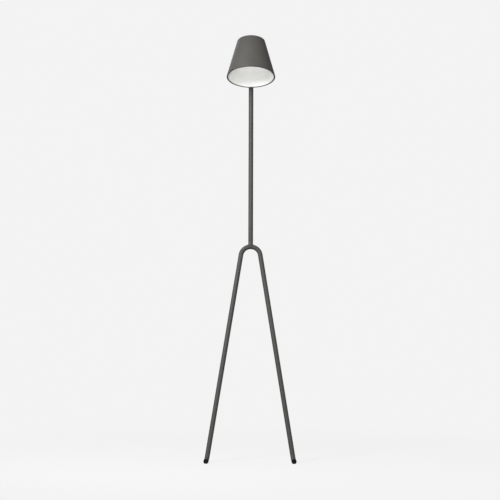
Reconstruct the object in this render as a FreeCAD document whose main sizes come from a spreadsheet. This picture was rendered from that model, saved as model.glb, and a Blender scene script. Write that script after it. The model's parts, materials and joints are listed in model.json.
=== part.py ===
# Leaning floor lamp: a bent tube stand with two legs and two toes, a straight pole that leans
# back onto a wall, and a cone shade on a knuckle that swivels and tilts.
#
# Row frame, millimetres: +Z up from the floor, +Y towards the wall, +X to the right.
# Lamp frame: the stand before it leans. Z runs up the pole's axis, -Y is the front, and the
# origin is the middle of the tube at the top of the crown. LEAN turns it into the row frame.
import FreeCAD, Part
import math
import os

import Sketcher
from FreeCAD import Placement, Rotation, Vector

doc = FreeCAD.newDocument("LeaningLamp")
sheet = doc.addObject("Spreadsheet::Sheet", "dims")

DRIVING = {
    # bent tube and stance
    "tube_od": 19,
    "tube_wall": 1.5,
    "lean_angle": 14,
    "splay_angle": 9,
    "crown_radius": 39,
    "leg_straight": 815,
    "heel_radius": 27,
    "toe_dip": 6,
    "toe_straight": 23,
    # toe caps
    "cap_od": 20,
    "cap_head": 7,
    "cap_plug": 16,
    "cap_flat": 1.0,
    "cap_round": 1.6,
    "cap_dish": 0.7,
    # cable gland and holes for the lead
    "gland_drop": 745,
    "gland_reach": 18,
    "gland_od": 11.6,
    "gland_neck": 8.4,
    "lead_hole": 11,
    # crown, pole and its top
    "spigot_od": 18.6,
    "pole_foot": 24,
    "pole_top": 778,
    "spigot_length": 30,
    "lead_bore": 8,
    "weld_bead": 2,
    "lock_height": 40,
    "screw_od": 4,
    "plug_depth": 28,
    "plug_head": 3,
    "disc_od": 18.6,
    "disc_wall": 0.7,
    "pin_od": 2.5,
    "pin_circle": 13.2,
    "hinge_height": 806,
    "wall_clear": 13.5,
    "bumper_height": 766,
    "bumper_od": 18,
    "bumper_seat": 14,
    "counterbore": 7.6,
    # knuckle
    "ear_od": 23,
    "ear_outer": 8,
    "ear_inner": 0.5,
    "boss_od": 14,
    "boss_gap": 12.3,
    "foot_height": 4,
    "neck_width": 13,
    "nipple_od": 8,
    "nipple_bore": 5.6,
    "arm_nipple_od": 10,
    "arm_nipple_bore": 7.2,
    "arm_boss_top": 22,
    "pivot_od": 5,
    "running_gap": 0.05,
    "swivel_limit": 45,
    # shade
    "rim_height": 663.2,
    "rim_gap": 6.5,
    "shade_tilt": 7.9,
    "rim_radius": 98,
    "top_radius": 55.5,
    "shade_height": 162,
    "shell_wall": 1.2,
    "lip_width": 6,
    "top_round": 6,
    "liner_wall": 0.8,
    "liner_top": 122,
    "liner_hole": 29,
    "liner_foot": 3,
    "strap_wall": 2,
    "strap_width": 16,
    # lampholder and bulb
    "bulb_od": 45,
    "bulb_tip": 57,
    "bulb_length": 70,
    "holder_od": 28,
    "flange_od": 36,
    "holder_low": 109,
    "holder_joint": 132,
    "holder_top": 148,
    "socket_od": 16.4,
    "lead_od": 5,
}

for row, (alias, value) in enumerate(DRIVING.items(), start=1):
    sheet.set(f"A{row}", alias)
    sheet.set(f"B{row}", str(value))
    sheet.setAlias(f"B{row}", alias)
doc.recompute()

X_AXIS = Vector(1, 0, 0)
Y_AXIS = Vector(0, 1, 0)
Z_AXIS = Vector(0, 0, 1)
finished = {}


def dim(alias):
    """A driving dimension, read from the sheet."""
    return float(sheet.get(alias))


def turn_x(degrees):
    return Rotation(X_AXIS, degrees)


# --- layout -----------------------------------------------------------------------------------

lean = math.radians(dim("lean_angle"))
splay = math.radians(dim("splay_angle"))
tube_radius = dim("tube_od") / 2
tube_bore = tube_radius - dim("tube_wall")
crown_radius = dim("crown_radius")
heel_turn = math.radians(90 - dim("lean_angle") - dim("toe_dip"))


def leg_layout(side):
    """Corner points of one leg's centreline: crown end, heel in, heel out and tube end."""
    start = Vector(
        side * crown_radius * math.cos(splay),
        0,
        crown_radius * (math.sin(splay) - 1),
    )
    down = Vector(side * math.sin(splay), 0, -math.cos(splay))
    forward = Vector(0, -1, 0)
    toe_way = down * math.cos(heel_turn) + forward * math.sin(heel_turn)
    heel_in = start + down * dim("leg_straight")
    setback = dim("heel_radius") * math.tan(heel_turn / 2)
    heel_out = heel_in + (down + toe_way) * setback
    tube_end = heel_out + toe_way * dim("toe_straight")
    return start, down, heel_in, heel_out, toe_way, tube_end


def leaned(point):
    """A lamp-frame point or direction after the lean, before the stand is set on the floor."""
    return turn_x(-dim("lean_angle")).multVec(point)


cap_radius = dim("cap_od") / 2
toe_tip = leg_layout(1)[5] + leg_layout(1)[4] * dim("cap_head")
toe_slope = leaned(leg_layout(1)[4])
toe_level = math.hypot(toe_slope.x, toe_slope.y)
wall_depth = dim("hinge_height") * math.sin(lean) + dim("wall_clear")
front_depth = leaned(toe_tip).y + cap_radius * toe_slope.z
stand_shift = Vector(
    0,
    -(wall_depth + front_depth) / 2,
    cap_radius * toe_level - dim("cap_flat") - leaned(toe_tip).z,
)
LEAN = Placement(stand_shift, turn_x(-dim("lean_angle")))
wall_plane = stand_shift.y + wall_depth

shade_tilt = math.radians(dim("shade_tilt"))
cone_run = (dim("rim_radius") - dim("top_radius")) / dim("shade_height")
cone_angle = math.atan(cone_run)
rim_rear = Vector(0, -tube_radius - dim("rim_gap"), dim("rim_height"))
shade_rearward = Vector(0, math.cos(shade_tilt), -math.sin(shade_tilt))
shade_up = Vector(0, math.sin(shade_tilt), math.cos(shade_tilt))
rim_centre = rim_rear - shade_rearward * dim("rim_radius")
hinge = Vector(0, 0, dim("hinge_height"))

# Shade frame: origin at the rim's centre, Z up the cone's axis, +Y towards the pole.
SHADE = LEAN.multiply(Placement(rim_centre, turn_x(-dim("shade_tilt"))))
# Arm frame: origin on the tilt axis, Z along the nipple, square into the shade's rear wall.
arm_turn = 90 + math.degrees(cone_angle) - dim("shade_tilt")
ARM = LEAN.multiply(Placement(hinge, turn_x(arm_turn)))
# Where the tilt axis lies in the shade frame, and how far the wall is from it along the arm.
hinge_rear = (hinge - rim_centre).dot(shade_rearward)
hinge_up = (hinge - rim_centre).dot(shade_up)
wall_reach = (hinge_rear - dim("rim_radius") + cone_run * hinge_up) * math.cos(cone_angle)


# --- drawing helpers --------------------------------------------------------------------------


def origin_plane(body, role):
    return next(f for f in body.Origin.OriginFeatures if f.Role == role)


def sketch_on(body, role):
    sketch = body.newObject("Sketcher::SketchObject", f"{body.Name}_{role}")
    sketch.AttachmentSupport = [(origin_plane(body, role), "")]
    sketch.MapMode = "FlatFace"
    return sketch


def pin_coordinate(sketch, index, kind, text, value, axis):
    """Ties one coordinate of a corner to an expression, or to an axis where it is zero."""
    if abs(value) < 1e-9:
        sketch.addConstraint(Sketcher.Constraint("PointOnObject", index, 1, axis))
        return
    number = sketch.addConstraint(Sketcher.Constraint(kind, -1, 1, index, 1, value))
    sketch.setExpression(f"Constraints[{number}]", text)


def outline(sketch, corners):
    """A closed outline of straight lines through corners given as pairs of expressions."""
    texts = [(str(a), str(b)) for a, b in corners]
    spots = [Vector(sketch.evalExpression(a), sketch.evalExpression(b), 0) for a, b in texts]
    count = len(spots)
    for index, spot in enumerate(spots):
        sketch.addGeometry(Part.LineSegment(spot, spots[(index + 1) % count]))
    for index in range(count):
        sketch.addConstraint(Sketcher.Constraint("Coincident", index, 2, (index + 1) % count, 1))
    for index, (across, up) in enumerate(texts):
        pin_coordinate(sketch, index, "DistanceX", across, spots[index].x, -2)
        pin_coordinate(sketch, index, "DistanceY", up, spots[index].y, -1)


def turned(name, corners):
    """A lathe piece: an outline of (radius, height) corners spun about Z."""
    body = doc.addObject("PartDesign::Body", name)
    sketch = sketch_on(body, "XZ_Plane")
    outline(sketch, corners)
    spin = body.newObject("PartDesign::Revolution", f"{name}_spin")
    spin.Profile = sketch
    spin.ReferenceAxis = (sketch, ["V_Axis"])
    spin.Angle = 360
    doc.recompute()
    return body


def rounded(body, size_text, chosen):
    """Fillets the edges of a body's last feature that the test picks out."""
    base = body.Tip
    edges = [f"Edge{i}" for i, edge in enumerate(base.Shape.Edges, start=1) if chosen(edge)]
    fillet = body.newObject("PartDesign::Fillet", f"{body.Name}_round{len(body.Group)}")
    fillet.Base = (base, edges)
    fillet.Radius = body.evalExpression(str(size_text))
    fillet.setExpression("Radius", str(size_text))
    doc.recompute()
    return body


def ring_at(radius, height):
    """A test for the circular edge of that radius at that height."""

    def test(edge):
        curve = edge.Curve
        if not isinstance(curve, Part.Circle):
            return False
        return abs(curve.Radius - radius) < 0.01 and abs(curve.Center.z - height) < 0.01

    return test


def rod(name, radius_text, length_text, start, direction):
    """A plain cylinder whose radius and length follow the sheet."""
    piece = doc.addObject("Part::Cylinder", name)
    piece.setExpression("Radius", str(radius_text))
    piece.setExpression("Height", str(length_text))
    piece.Placement = Placement(start, Rotation(Z_AXIS, direction))
    return piece


def block(name, low, high):
    piece = doc.addObject("Part::Box", name)
    piece.Length = high.x - low.x
    piece.Width = high.y - low.y
    piece.Height = high.z - low.z
    piece.Placement = Placement(low, Rotation())
    return piece


def join(name, *pieces):
    whole = pieces[0]
    for number, piece in enumerate(pieces[1:], start=1):
        fuse = doc.addObject("Part::Fuse", f"{name}_fuse{number}")
        fuse.Base = whole
        fuse.Tool = piece
        whole = fuse
    doc.recompute()
    return whole


def less(name, base, *tools):
    """The base with each tool cut away."""
    whole = base
    for number, tool in enumerate(tools, start=1):
        cut = doc.addObject("Part::Cut", f"{name}_cut{number}")
        cut.Base = whole
        cut.Tool = tool
        whole = cut
    doc.recompute()
    return whole


def shaped(name, shape):
    piece = doc.addObject("Part::Feature", name)
    piece.Shape = shape
    return piece


def finish(piece, label, placement=Placement()):
    """Names a sub-part and puts it in its place in the row frame."""
    piece.Label = label
    piece.Placement = placement.multiply(piece.Placement)
    doc.recompute()
    finished[label] = piece
    return piece


def tube_path(points, radii):
    """Straight runs joined by tangent arcs, as one wire."""
    edges = []
    here = points[0]
    for before, corner, after, radius in zip(points, points[1:], points[2:], radii):
        back = (before - corner).normalize()
        ahead = (after - corner).normalize()
        half_turn = (math.pi - back.getAngle(ahead)) / 2
        setback = radius * math.tan(half_turn)
        arc_in = corner + back * setback
        arc_out = corner + ahead * setback
        inward = (back + ahead).normalize()
        middle = corner + inward * radius * (1 / math.cos(half_turn) - 1)
        edges.append(Part.LineSegment(here, arc_in).toShape())
        edges.append(Part.Arc(arc_in, middle, arc_out).toShape())
        here = arc_out
    edges.append(Part.LineSegment(here, points[-1]).toShape())
    return Part.Wire(edges)


def swept_rod(path, start, direction, radius):
    """A solid round bar along a wire that starts at a point, going in a direction."""
    disc = Part.Face(Part.Wire(Part.makeCircle(radius, start, direction)))
    return path.makePipe(disc)


# --- stand ------------------------------------------------------------------------------------


def make_leg_tube():
    """One bent tube: toe, heel, leg, crown, leg, heel, toe, with holes for the lead."""
    right = leg_layout(1)
    left = leg_layout(-1)
    edges = []
    for start, down, heel_in, heel_out, toe_way, tube_end in (left, right):
        centre_way = (toe_way - down).normalize()
        corner = heel_in + down * (dim("heel_radius") * math.tan(heel_turn / 2))
        sagitta = dim("heel_radius") * (1 / math.cos(heel_turn / 2) - 1)
        middle = corner + centre_way * sagitta
        leg_edges = [
            Part.LineSegment(tube_end, heel_out).toShape(),
            Part.Arc(heel_out, middle, heel_in).toShape(),
            Part.LineSegment(heel_in, start).toShape(),
        ]
        edges.append(leg_edges)
    crown = Part.Arc(left[0], Vector(), right[0]).toShape()
    path = Part.Wire(edges[0] + [crown] + edges[1][::-1])
    toe_end = left[5]
    inward = left[4] * -1
    tube = swept_rod(path, toe_end, inward, tube_radius)
    tube = tube.cut(swept_rod(path, toe_end, inward, tube_bore))
    print("leg tube volume", round(tube.Volume), "section x length",
          round(math.pi * (tube_radius**2 - tube_bore**2) * path.Length))
    tube = shaped("leg_tube_bent", tube)
    hole_radius = "dims.gland_neck / 2 + dims.running_gap"
    crown_top = tube_radius + 4
    lead_hole = rod("crown_lead_hole", "dims.lead_hole / 2", crown_top, Vector(), Z_AXIS)
    gland_hole = rod("gland_hole", hole_radius, gland_reach + 4, gland_corner, gland_way)
    finish(less("leg_tube", tube, lead_hole, gland_hole), "leg_tube", LEAN)


# The lead leaves the right leg at its back, sloping down, a little above the heel.
gland_corner = leg_layout(1)[0] + leg_layout(1)[1] * dim("gland_drop")
gland_way = (leg_layout(1)[1] + Y_AXIS).normalize()
gland_reach = dim("gland_reach")


def make_cable_gland():
    """An oblique rubber bushing: a neck through the tube's wall and a boss that sits on it."""
    reach = "dims.gland_reach"
    boss = rod("gland_boss", "dims.gland_od / 2", reach, gland_corner, gland_way)
    seat_end = gland_corner + leg_layout(1)[1] * (2 * gland_reach)
    seat_way = leg_layout(1)[1] * -1
    leg_bar = rod("gland_seat", "dims.tube_od / 2", f"4 * {reach}", seat_end, seat_way)
    boss = less("gland_boss_seated", boss, leg_bar)
    neck_start = gland_corner + gland_way * (gland_reach / 2)
    neck = rod("gland_neck", "dims.gland_neck / 2", f"{reach} / 2", neck_start, gland_way)
    bore = rod("gland_bore", "dims.lead_od / 2", reach, gland_corner, gland_way)
    finish(less("cable_gland", join("gland", boss, neck), bore), "cable_gland", LEAN)


def make_toe_caps():
    """Rubber plugs in the open tube ends: a round head with a shallow dished face."""
    head = "dims.cap_od / 2"
    plug = "dims.tube_od / 2 - dims.tube_wall"
    for side, name in ((-1, "left_toe_cap"), (1, "right_toe_cap")):
        body = turned(
            f"{name}_turned",
            [
                (0, "-dims.cap_plug"),
                (f"{plug} - 1", "-dims.cap_plug"),
                (plug, "-dims.cap_plug + 2"),
                (plug, 0),
                (head, 0),
                (head, "dims.cap_head"),
                ("dims.cap_od * 0.34", "dims.cap_head"),
                ("dims.cap_od * 0.3", "dims.cap_head - dims.cap_dish"),
                (0, "dims.cap_head - dims.cap_dish"),
            ],
        )
        rounded(body, "dims.cap_round", ring_at(cap_radius, dim("cap_head")))
        *_, toe_way, tube_end = leg_layout(side)
        body.Placement = LEAN.multiply(Placement(tube_end, Rotation(Z_AXIS, toe_way)))
        floor = block(f"{name}_floor", Vector(-400, -400, -30), Vector(400, 400, 0))
        finish(less(name, body, floor), name)


def crown_torus(name, radius_text):
    """The crown's round bar, as a cutter: a ring that lies in the plane of the legs."""
    ring = doc.addObject("Part::Torus", name)
    ring.setExpression("Radius1", "dims.crown_radius")
    ring.setExpression("Radius2", radius_text)
    ring.Placement = Placement(Vector(0, 0, -crown_radius), turn_x(90))
    return ring


def make_crown_spigot():
    """A turned steel joint: a foot saddled on the crown and a spigot that enters the pole."""
    foot = "dims.spigot_od / 2"
    neck = "dims.tube_od / 2 - dims.tube_wall - dims.running_gap"
    wide_bore = "dims.lead_hole / 2 + 0.3"
    body = turned(
        "crown_spigot_turned",
        [
            (wide_bore, 0.5),
            (foot, 0.5),
            (foot, "dims.pole_foot"),
            (neck, "dims.pole_foot"),
            (neck, "dims.pole_foot + dims.spigot_length - 1"),
            (f"{neck} - 1", "dims.pole_foot + dims.spigot_length"),
            ("dims.lead_bore / 2", "dims.pole_foot + dims.spigot_length"),
            ("dims.lead_bore / 2", 18),
            (wide_bore, 16),
        ],
    )
    saddle = crown_torus("spigot_saddle", "dims.tube_od / 2")
    screw_start = Vector(0, 3, dim("lock_height"))
    screw_hole = rod("lock_screw_thread", "dims.screw_od / 2", 6, screw_start, Y_AXIS)
    finish(less("crown_spigot", body, saddle, screw_hole), "crown_spigot", LEAN)


def make_crown_weld():
    """The weld bead in the corner between the crown and the spigot's foot."""
    bead = "dims.weld_bead"
    outer = rod("weld_outer", f"dims.spigot_od / 2 + {bead}", 14, Vector(0, 0, 0.5), Z_AXIS)
    common = doc.addObject("Part::Common", "weld_common")
    common.Base = outer
    common.Tool = crown_torus("weld_skin", f"dims.tube_od / 2 + {bead}")
    foot = rod("weld_foot", "dims.spigot_od / 2", 20, Vector(), Z_AXIS)
    bar = crown_torus("weld_bar", "dims.tube_od / 2")
    finish(less("crown_weld", common, foot, bar), "crown_weld", LEAN)


def make_pole():
    """The straight pole, with a hole for the lock screw low down and one for the bumper's."""
    body = turned(
        "pole_turned",
        [
            ("dims.tube_od / 2 - dims.tube_wall", "dims.pole_foot"),
            ("dims.tube_od / 2", "dims.pole_foot"),
            ("dims.tube_od / 2", "dims.pole_top"),
            ("dims.tube_od / 2 - dims.tube_wall", "dims.pole_top"),
        ],
    )
    clearance = "dims.screw_od / 2 + 0.1"
    lock_hole = rod("pole_lock_hole", clearance, 8, Vector(0, 4, dim("lock_height")), Y_AXIS)
    bumper_start = Vector(0, 4, dim("bumper_height"))
    bumper_hole = rod("pole_bumper_hole", clearance, 8, bumper_start, Y_AXIS)
    finish(less("pole_tube", body, lock_hole, bumper_hole), "pole_tube", LEAN)


def make_lock_screw():
    """The grub screw at the back of the pole's foot, with its hexagon socket."""
    radius = "dims.screw_od / 2"
    body = turned(
        "lock_screw_turned",
        [(0, 0.4), (f"{radius} - 0.4", 0), (radius, 0.6), (radius, 3.9), (0, 3.9)],
    )
    socket = doc.addObject("Part::Prism", "lock_screw_socket")
    socket.Circumradius = 1.15
    socket.Height = 3
    socket.Placement = Placement(Vector(0, 0, 2), Rotation())
    place = Placement(Vector(0, 4.9, dim("lock_height")), Rotation(Z_AXIS, Y_AXIS))
    finish(less("lock_screw", body, socket), "pole_lock_screw", LEAN.multiply(place))


def make_pole_top_plug():
    """A turned plug in the pole's top: the bearing that the swivel's nipple turns in."""
    neck = "dims.tube_od / 2 - dims.tube_wall - dims.running_gap"
    bore = "dims.nipple_od / 2 + dims.running_gap"
    low = "dims.pole_top - dims.plug_depth"
    high = "dims.pole_top + dims.plug_head"
    body = turned(
        "pole_top_plug_turned",
        [
            (bore, low),
            (neck, low),
            (neck, "dims.pole_top"),
            ("dims.tube_od / 2", "dims.pole_top"),
            ("dims.tube_od / 2", high),
            (bore, high),
        ],
    )
    thread_start = Vector(0, 4, dim("bumper_height"))
    thread = rod("plug_thread", "dims.screw_od / 2", 6, thread_start, Y_AXIS)
    pin_hole = rod("plug_pin_hole", "dims.pin_od / 2", 8, pin_foot, Z_AXIS)
    finish(less("pole_top_plug", body, thread, pin_hole), "pole_top_plug", LEAN)


pin_circle = dim("pin_circle") / 2
pin_foot = Vector(0, -pin_circle, dim("pole_top") + 0.5)


def make_stop_pin():
    """The dowel that stops the swivel at each end of its arc."""
    radius = "dims.pin_od / 2"
    body = turned(
        "stop_pin_turned",
        [(0, 0), (radius, 0), (radius, 5.2), (f"{radius} - 0.3", 5.6), (0, 5.6)],
    )
    finish(body, "stop_pin", LEAN.multiply(Placement(pin_foot, Rotation())))


def make_swivel_friction_disc():
    """A nylon disc on the plug, under the knuckle's foot."""
    bore = "dims.nipple_od / 2 + 0.3"
    low = "dims.pole_top + dims.plug_head"
    high = f"{low} + dims.disc_wall"
    body = turned(
        "swivel_disc_turned",
        [(bore, low), ("dims.disc_od / 2", low), ("dims.disc_od / 2", high), (bore, high)],
    )
    pin_hole = rod("disc_pin_hole", "dims.pin_od / 2 + 0.1", 8, pin_foot, Z_AXIS)
    finish(less("swivel_friction_disc", body, pin_hole), "swivel_friction_disc", LEAN)


def make_wall_bumper():
    """A rubber bumper square to the pole, its back cut upright so that it lies on the wall."""
    start = Vector(0, 0, dim("bumper_height"))
    reach = 45
    puck = rod("bumper_puck", "dims.bumper_od / 2", reach, start, Y_AXIS)
    pole_start = Vector(0, 0, dim("pole_top") - 60)
    pole = rod("bumper_pole", "dims.tube_od / 2", 80, pole_start, Z_AXIS)
    hole = rod("bumper_hole", "dims.screw_od / 2 + 0.1", reach, start, Y_AXIS)
    seat = start + Y_AXIS * dim("bumper_seat")
    counterbore = rod("bumper_counterbore", "dims.counterbore / 2", reach, seat, Y_AXIS)
    puck = less("bumper_in_lamp_frame", puck, pole, hole, counterbore)
    puck.Placement = LEAN
    wall = block("wall_cutter", Vector(-60, wall_plane, 1400), Vector(60, wall_plane + 60, 1800))
    finish(less("wall_bumper", puck, wall), "wall_bumper")


def make_bumper_screw():
    """The cap screw that holds the bumper and locks the plug in the pole."""
    shank = "dims.screw_od / 2"
    seat = "dims.bumper_seat"
    body = turned(
        "bumper_screw_turned",
        [
            (0, 4.7),
            (f"{shank} - 0.4", 4.7),
            (shank, 5.3),
            (shank, seat),
            (3.5, seat),
            (3.5, f"{seat} + 3.6"),
            (3.1, f"{seat} + 4"),
            (0, f"{seat} + 4"),
        ],
    )
    socket = doc.addObject("Part::Prism", "bumper_screw_socket")
    socket.Circumradius = 1.73
    socket.Height = 4
    socket.Placement = Placement(Vector(0, 0, dim("bumper_seat") + 1.8), Rotation())
    place = Placement(Vector(0, 0, dim("bumper_height")), Rotation(Z_AXIS, Y_AXIS))
    finish(less("bumper_screw", body, socket), "bumper_screw", LEAN.multiply(place))


def lead_radii(points):
    """Bend radii of a lead: each as large as its two runs allow."""
    radii = []
    for before, corner, after in zip(points, points[1:], points[2:]):
        half_turn = (math.pi - (before - corner).getAngle(after - corner)) / 2
        shorter = min((before - corner).Length, (after - corner).Length)
        radii.append(0.45 * shorter / math.tan(half_turn))
    return radii


def make_lead(label, points, placement):
    """A round lead along a hand-laid route, with its radii and volume printed."""
    radii = lead_radii(points)
    path = tube_path(points, radii)
    radius = dim("lead_od") / 2
    solid = swept_rod(path, points[0], points[1] - points[0], radius)
    print(label, "radii", [round(r, 1) for r in radii], "length", round(path.Length),
          "volume", round(solid.Volume), "section x length",
          round(math.pi * radius**2 * path.Length))
    finish(shaped(f"{label}_swept", solid), label, placement)


def make_mains_lead():
    """The lead inside the stand: in at the gland, up the right leg, over and up the pole."""
    route = [
        gland_corner + gland_way * gland_reach,
        gland_corner,
        Vector(37.5, 0, -27),
        Vector(24, 0, -4.5),
        Vector(0, 0, 4),
        Vector(0, 0, dim("pole_top") - dim("plug_depth") - 10),
    ]
    make_lead("mains_lead", route, LEAN)


# --- knuckle ----------------------------------------------------------------------------------


def make_knuckle_base():
    """The knuckle's lower half: a foot on the pole, a threaded boss and one flat ear."""
    foot_level = dim("pole_top") + dim("plug_head") + 1
    boss_top = dim("hinge_height") - dim("boss_gap")
    foot = rod("base_foot", "dims.tube_od / 2", "dims.foot_height", Vector(0, 0, foot_level), Z_AXIS)
    boss_height = boss_top - foot_level
    boss = rod("base_boss", "dims.boss_od / 2", boss_height, Vector(0, 0, foot_level), Z_AXIS)
    ear_start = hinge - X_AXIS * dim("ear_outer")
    ear_width = "dims.ear_outer - dims.ear_inner"
    ear = rod("base_ear", "dims.ear_od / 2", ear_width, ear_start, X_AXIS)
    half_neck = dim("neck_width") / 2
    neck = block(
        "base_neck",
        Vector(-half_neck, -half_neck, foot_level + 3),
        Vector(-dim("ear_inner"), half_neck, dim("hinge_height")),
    )
    whole = join("knuckle_base", foot, boss, ear, neck)
    thread = rod("base_thread", "dims.nipple_od / 2", 10, Vector(0, 0, foot_level), Z_AXIS)
    bore = rod("base_pivot_bore", "dims.pivot_od / 2", 12, ear_start, X_AXIS)
    nut_pocket = doc.addObject("Part::Prism", "base_nut_pocket")
    nut_pocket.Circumradius = 4.62
    nut_pocket.Height = 4
    nut_pocket.Placement = Placement(ear_start, Rotation(Z_AXIS, X_AXIS))
    whole = less("knuckle_base", whole, thread, bore, nut_pocket, swivel_slot(foot_level))
    finish(whole, "knuckle_base", LEAN)


def swivel_slot(level):
    """The arc slot under the knuckle's foot that the stop pin runs in."""
    half_width = 1.55
    depth = 2.6
    arc = 2 * dim("swivel_limit") + 2
    outer = rod("slot_outer", pin_circle + half_width, depth, Vector(0, 0, level), Z_AXIS)
    outer.Angle = arc
    turn = Rotation(Z_AXIS, -90 - arc / 2)
    outer.Placement = Placement(Vector(0, 0, level), turn)
    inner = rod("slot_inner", pin_circle - half_width, 2 * depth, Vector(0, 0, level), Z_AXIS)
    ends = []
    for side in (-1, 1):
        angle = math.radians(-90 + side * arc / 2)
        spot = Vector(pin_circle * math.cos(angle), pin_circle * math.sin(angle), level)
        ends.append(rod(f"slot_end{side + 1}", half_width, depth, spot, Z_AXIS))
    return join("swivel_slot", less("slot_ring", outer, inner), *ends)


def make_swivel_nipple():
    """The hollow threaded nipple that the knuckle turns on; the lead would pass through it."""
    body = turned(
        "swivel_nipple_turned",
        [
            ("dims.nipple_bore / 2", "dims.pole_top - dims.plug_depth - 6"),
            ("dims.nipple_od / 2", "dims.pole_top - dims.plug_depth - 6"),
            ("dims.nipple_od / 2", "dims.pole_top + 14"),
            ("dims.nipple_bore / 2", "dims.pole_top + 14"),
        ],
    )
    finish(body, "swivel_nipple", LEAN)


def make_swivel_nut_and_washer():
    """The slotted round nut under the plug, and the spring washer that loads it."""
    bore = "dims.nipple_od / 2"
    plug_end = "dims.pole_top - dims.plug_depth"
    nut_low = f"{plug_end} - 5.5"
    nut_high = f"{plug_end} - 1.4"
    nut = turned(
        "swivel_nut_turned",
        [(bore, nut_low), (6.8, nut_low), (6.8, nut_high), (bore, nut_high)],
    )
    level = dim("pole_top") - dim("plug_depth") - 6
    slot = block("swivel_nut_slot", Vector(-8, -0.8, level), Vector(8, 0.8, level + 1.6))
    finish(less("swivel_nut", nut, slot), "swivel_nut", LEAN)
    washer_bore = f"{bore} + 0.1"
    washer_high = f"{plug_end} - 0.3"
    washer = turned(
        "swivel_washer_turned",
        [(washer_bore, nut_high), (6.7, nut_high), (6.7, washer_high), (washer_bore, washer_high)],
    )
    gap = block("swivel_washer_gap", Vector(3, -0.4, level), Vector(8, 0.4, level + 9))
    finish(less("swivel_spring_washer", washer, gap), "swivel_spring_washer", LEAN)


def across(height):
    """A placement on the tilt axis, its Z along +X, starting that far to the right."""
    return LEAN.multiply(Placement(hinge + X_AXIS * height, Rotation(Z_AXIS, X_AXIS)))


def make_pivot_stack():
    """Bolt, nut, washers and friction disc along the tilt axis, left to right."""
    ear = dim("ear_outer")
    pivot = "dims.pivot_od / 2"
    head_start = "2 * dims.ear_outer + 1.8"
    bolt = turned(
        "pivot_bolt_turned",
        [
            (0, 0),
            (f"{pivot} - 0.4", 0),
            (pivot, 0.5),
            (pivot, head_start),
            (4.75, head_start),
            (4.75, f"{head_start} + 1.2"),
            (3.2, f"{head_start} + 2.7"),
            (0, f"{head_start} + 2.7"),
        ],
    )
    socket = doc.addObject("Part::Prism", "pivot_socket")
    socket.Circumradius = 1.73
    socket.Height = 3
    socket.Placement = Placement(Vector(0, 0, 2 * ear + 2.6), Rotation())
    finish(less("pivot_bolt", bolt, socket), "pivot_bolt", across(-ear + 0.3))
    nut = doc.addObject("Part::Prism", "pivot_nut_hexagon")
    nut.Circumradius = 4.6
    nut.Height = 3.9
    nut_bore = rod("pivot_nut_bore", pivot, 6, Vector(0, 0, -1), Z_AXIS)
    finish(less("pivot_nut", nut, nut_bore), "pivot_nut", across(-ear + 0.1))
    rings = (
        ("pivot_friction_disc", 10.8, -dim("ear_inner"), 2 * dim("ear_inner") - 0.2),
        ("pivot_spring_washer", 4.9, ear + 0.2, 0.9),
        ("pivot_flat_washer", 5.4, ear + 1.1, 1),
    )
    for name, radius, start, thickness in rings:
        ring = turned(
            f"{name}_turned",
            [(f"{pivot} + 0.1", 0), (radius, 0), (radius, thickness), (f"{pivot} + 0.1", thickness)],
        )
        finish(ring, name, across(start))


# --- arm and shade ----------------------------------------------------------------------------


def make_knuckle_head():
    """The knuckle's upper half: one flat ear and the threaded boss that points at the shade."""
    ear_start = X_AXIS * dim("ear_inner")
    ear_width = "dims.ear_outer - dims.ear_inner"
    ear = rod("head_ear", "dims.ear_od / 2", ear_width, ear_start, X_AXIS)
    boss_start = Z_AXIS * dim("boss_gap")
    boss_height = "dims.arm_boss_top - dims.boss_gap"
    boss = rod("head_boss", "dims.boss_od / 2", boss_height, boss_start, Z_AXIS)
    half_neck = dim("neck_width") / 2
    neck_low = Vector(dim("ear_inner"), -half_neck, 0)
    neck = block("head_neck", neck_low, Vector(half_neck, half_neck, 18))
    bore = rod("head_bore", "dims.pivot_od / 2 + dims.running_gap", 12, Vector(), X_AXIS)
    thread = rod("head_thread", "dims.arm_nipple_od / 2", 8, Z_AXIS * 14, Z_AXIS)
    whole = less("knuckle_head", join("knuckle_head", ear, boss, neck), bore, thread)
    finish(whole, "knuckle_head", ARM)


def shade_cone(name, placement):
    """The shade's outer cone as a solid cutter."""
    cone = doc.addObject("Part::Cone", name)
    cone.setExpression("Radius1", "dims.rim_radius")
    cone.setExpression("Radius2", "dims.top_radius")
    cone.setExpression("Height", "dims.shade_height")
    cone.Placement = placement
    return cone


def make_arm():
    """Hollow nipple, the spacer outside the shade's wall and the nut inside it."""
    bore = "dims.arm_nipple_bore / 2"
    thread = "dims.arm_nipple_od / 2"
    nipple_start = 14.5
    nipple_end = wall_reach + 10.2
    nipple = turned(
        "shade_nipple_turned",
        [(bore, nipple_start), (thread, nipple_start), (thread, nipple_end), (bore, nipple_end)],
    )
    finish(nipple, "shade_nipple", ARM)
    slide = f"{thread} + dims.running_gap"
    boss_top = "dims.arm_boss_top"
    spacer = turned(
        "shade_spacer_turned",
        [
            (slide, boss_top),
            ("dims.boss_od / 2", boss_top),
            (8.5, f"{boss_top} + 4"),
            (8.5, f"{boss_top} + 16"),
            (slide, f"{boss_top} + 16"),
        ],
    )
    in_arm_frame = ARM.inverse().multiply(SHADE)
    cone = shade_cone("spacer_seat", in_arm_frame)
    finish(less("shade_spacer", spacer, cone), "shade_spacer", ARM)
    nut = doc.addObject("Part::Prism", "shade_nut_hexagon")
    nut.Circumradius = 8.08
    nut.Height = 4.6
    nut.Placement = Placement(Z_AXIS * (wall_reach + 4), Rotation())
    nut_bore = rod("shade_nut_bore", thread, 60, Vector(), Z_AXIS)
    finish(less("shade_nut", nut, nut_bore), "shade_nut", ARM)


CONE = "(dims.rim_radius - dims.top_radius) / dims.shade_height"
SKIN = f"sqrt(1 + ({CONE})^2)"


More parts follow.
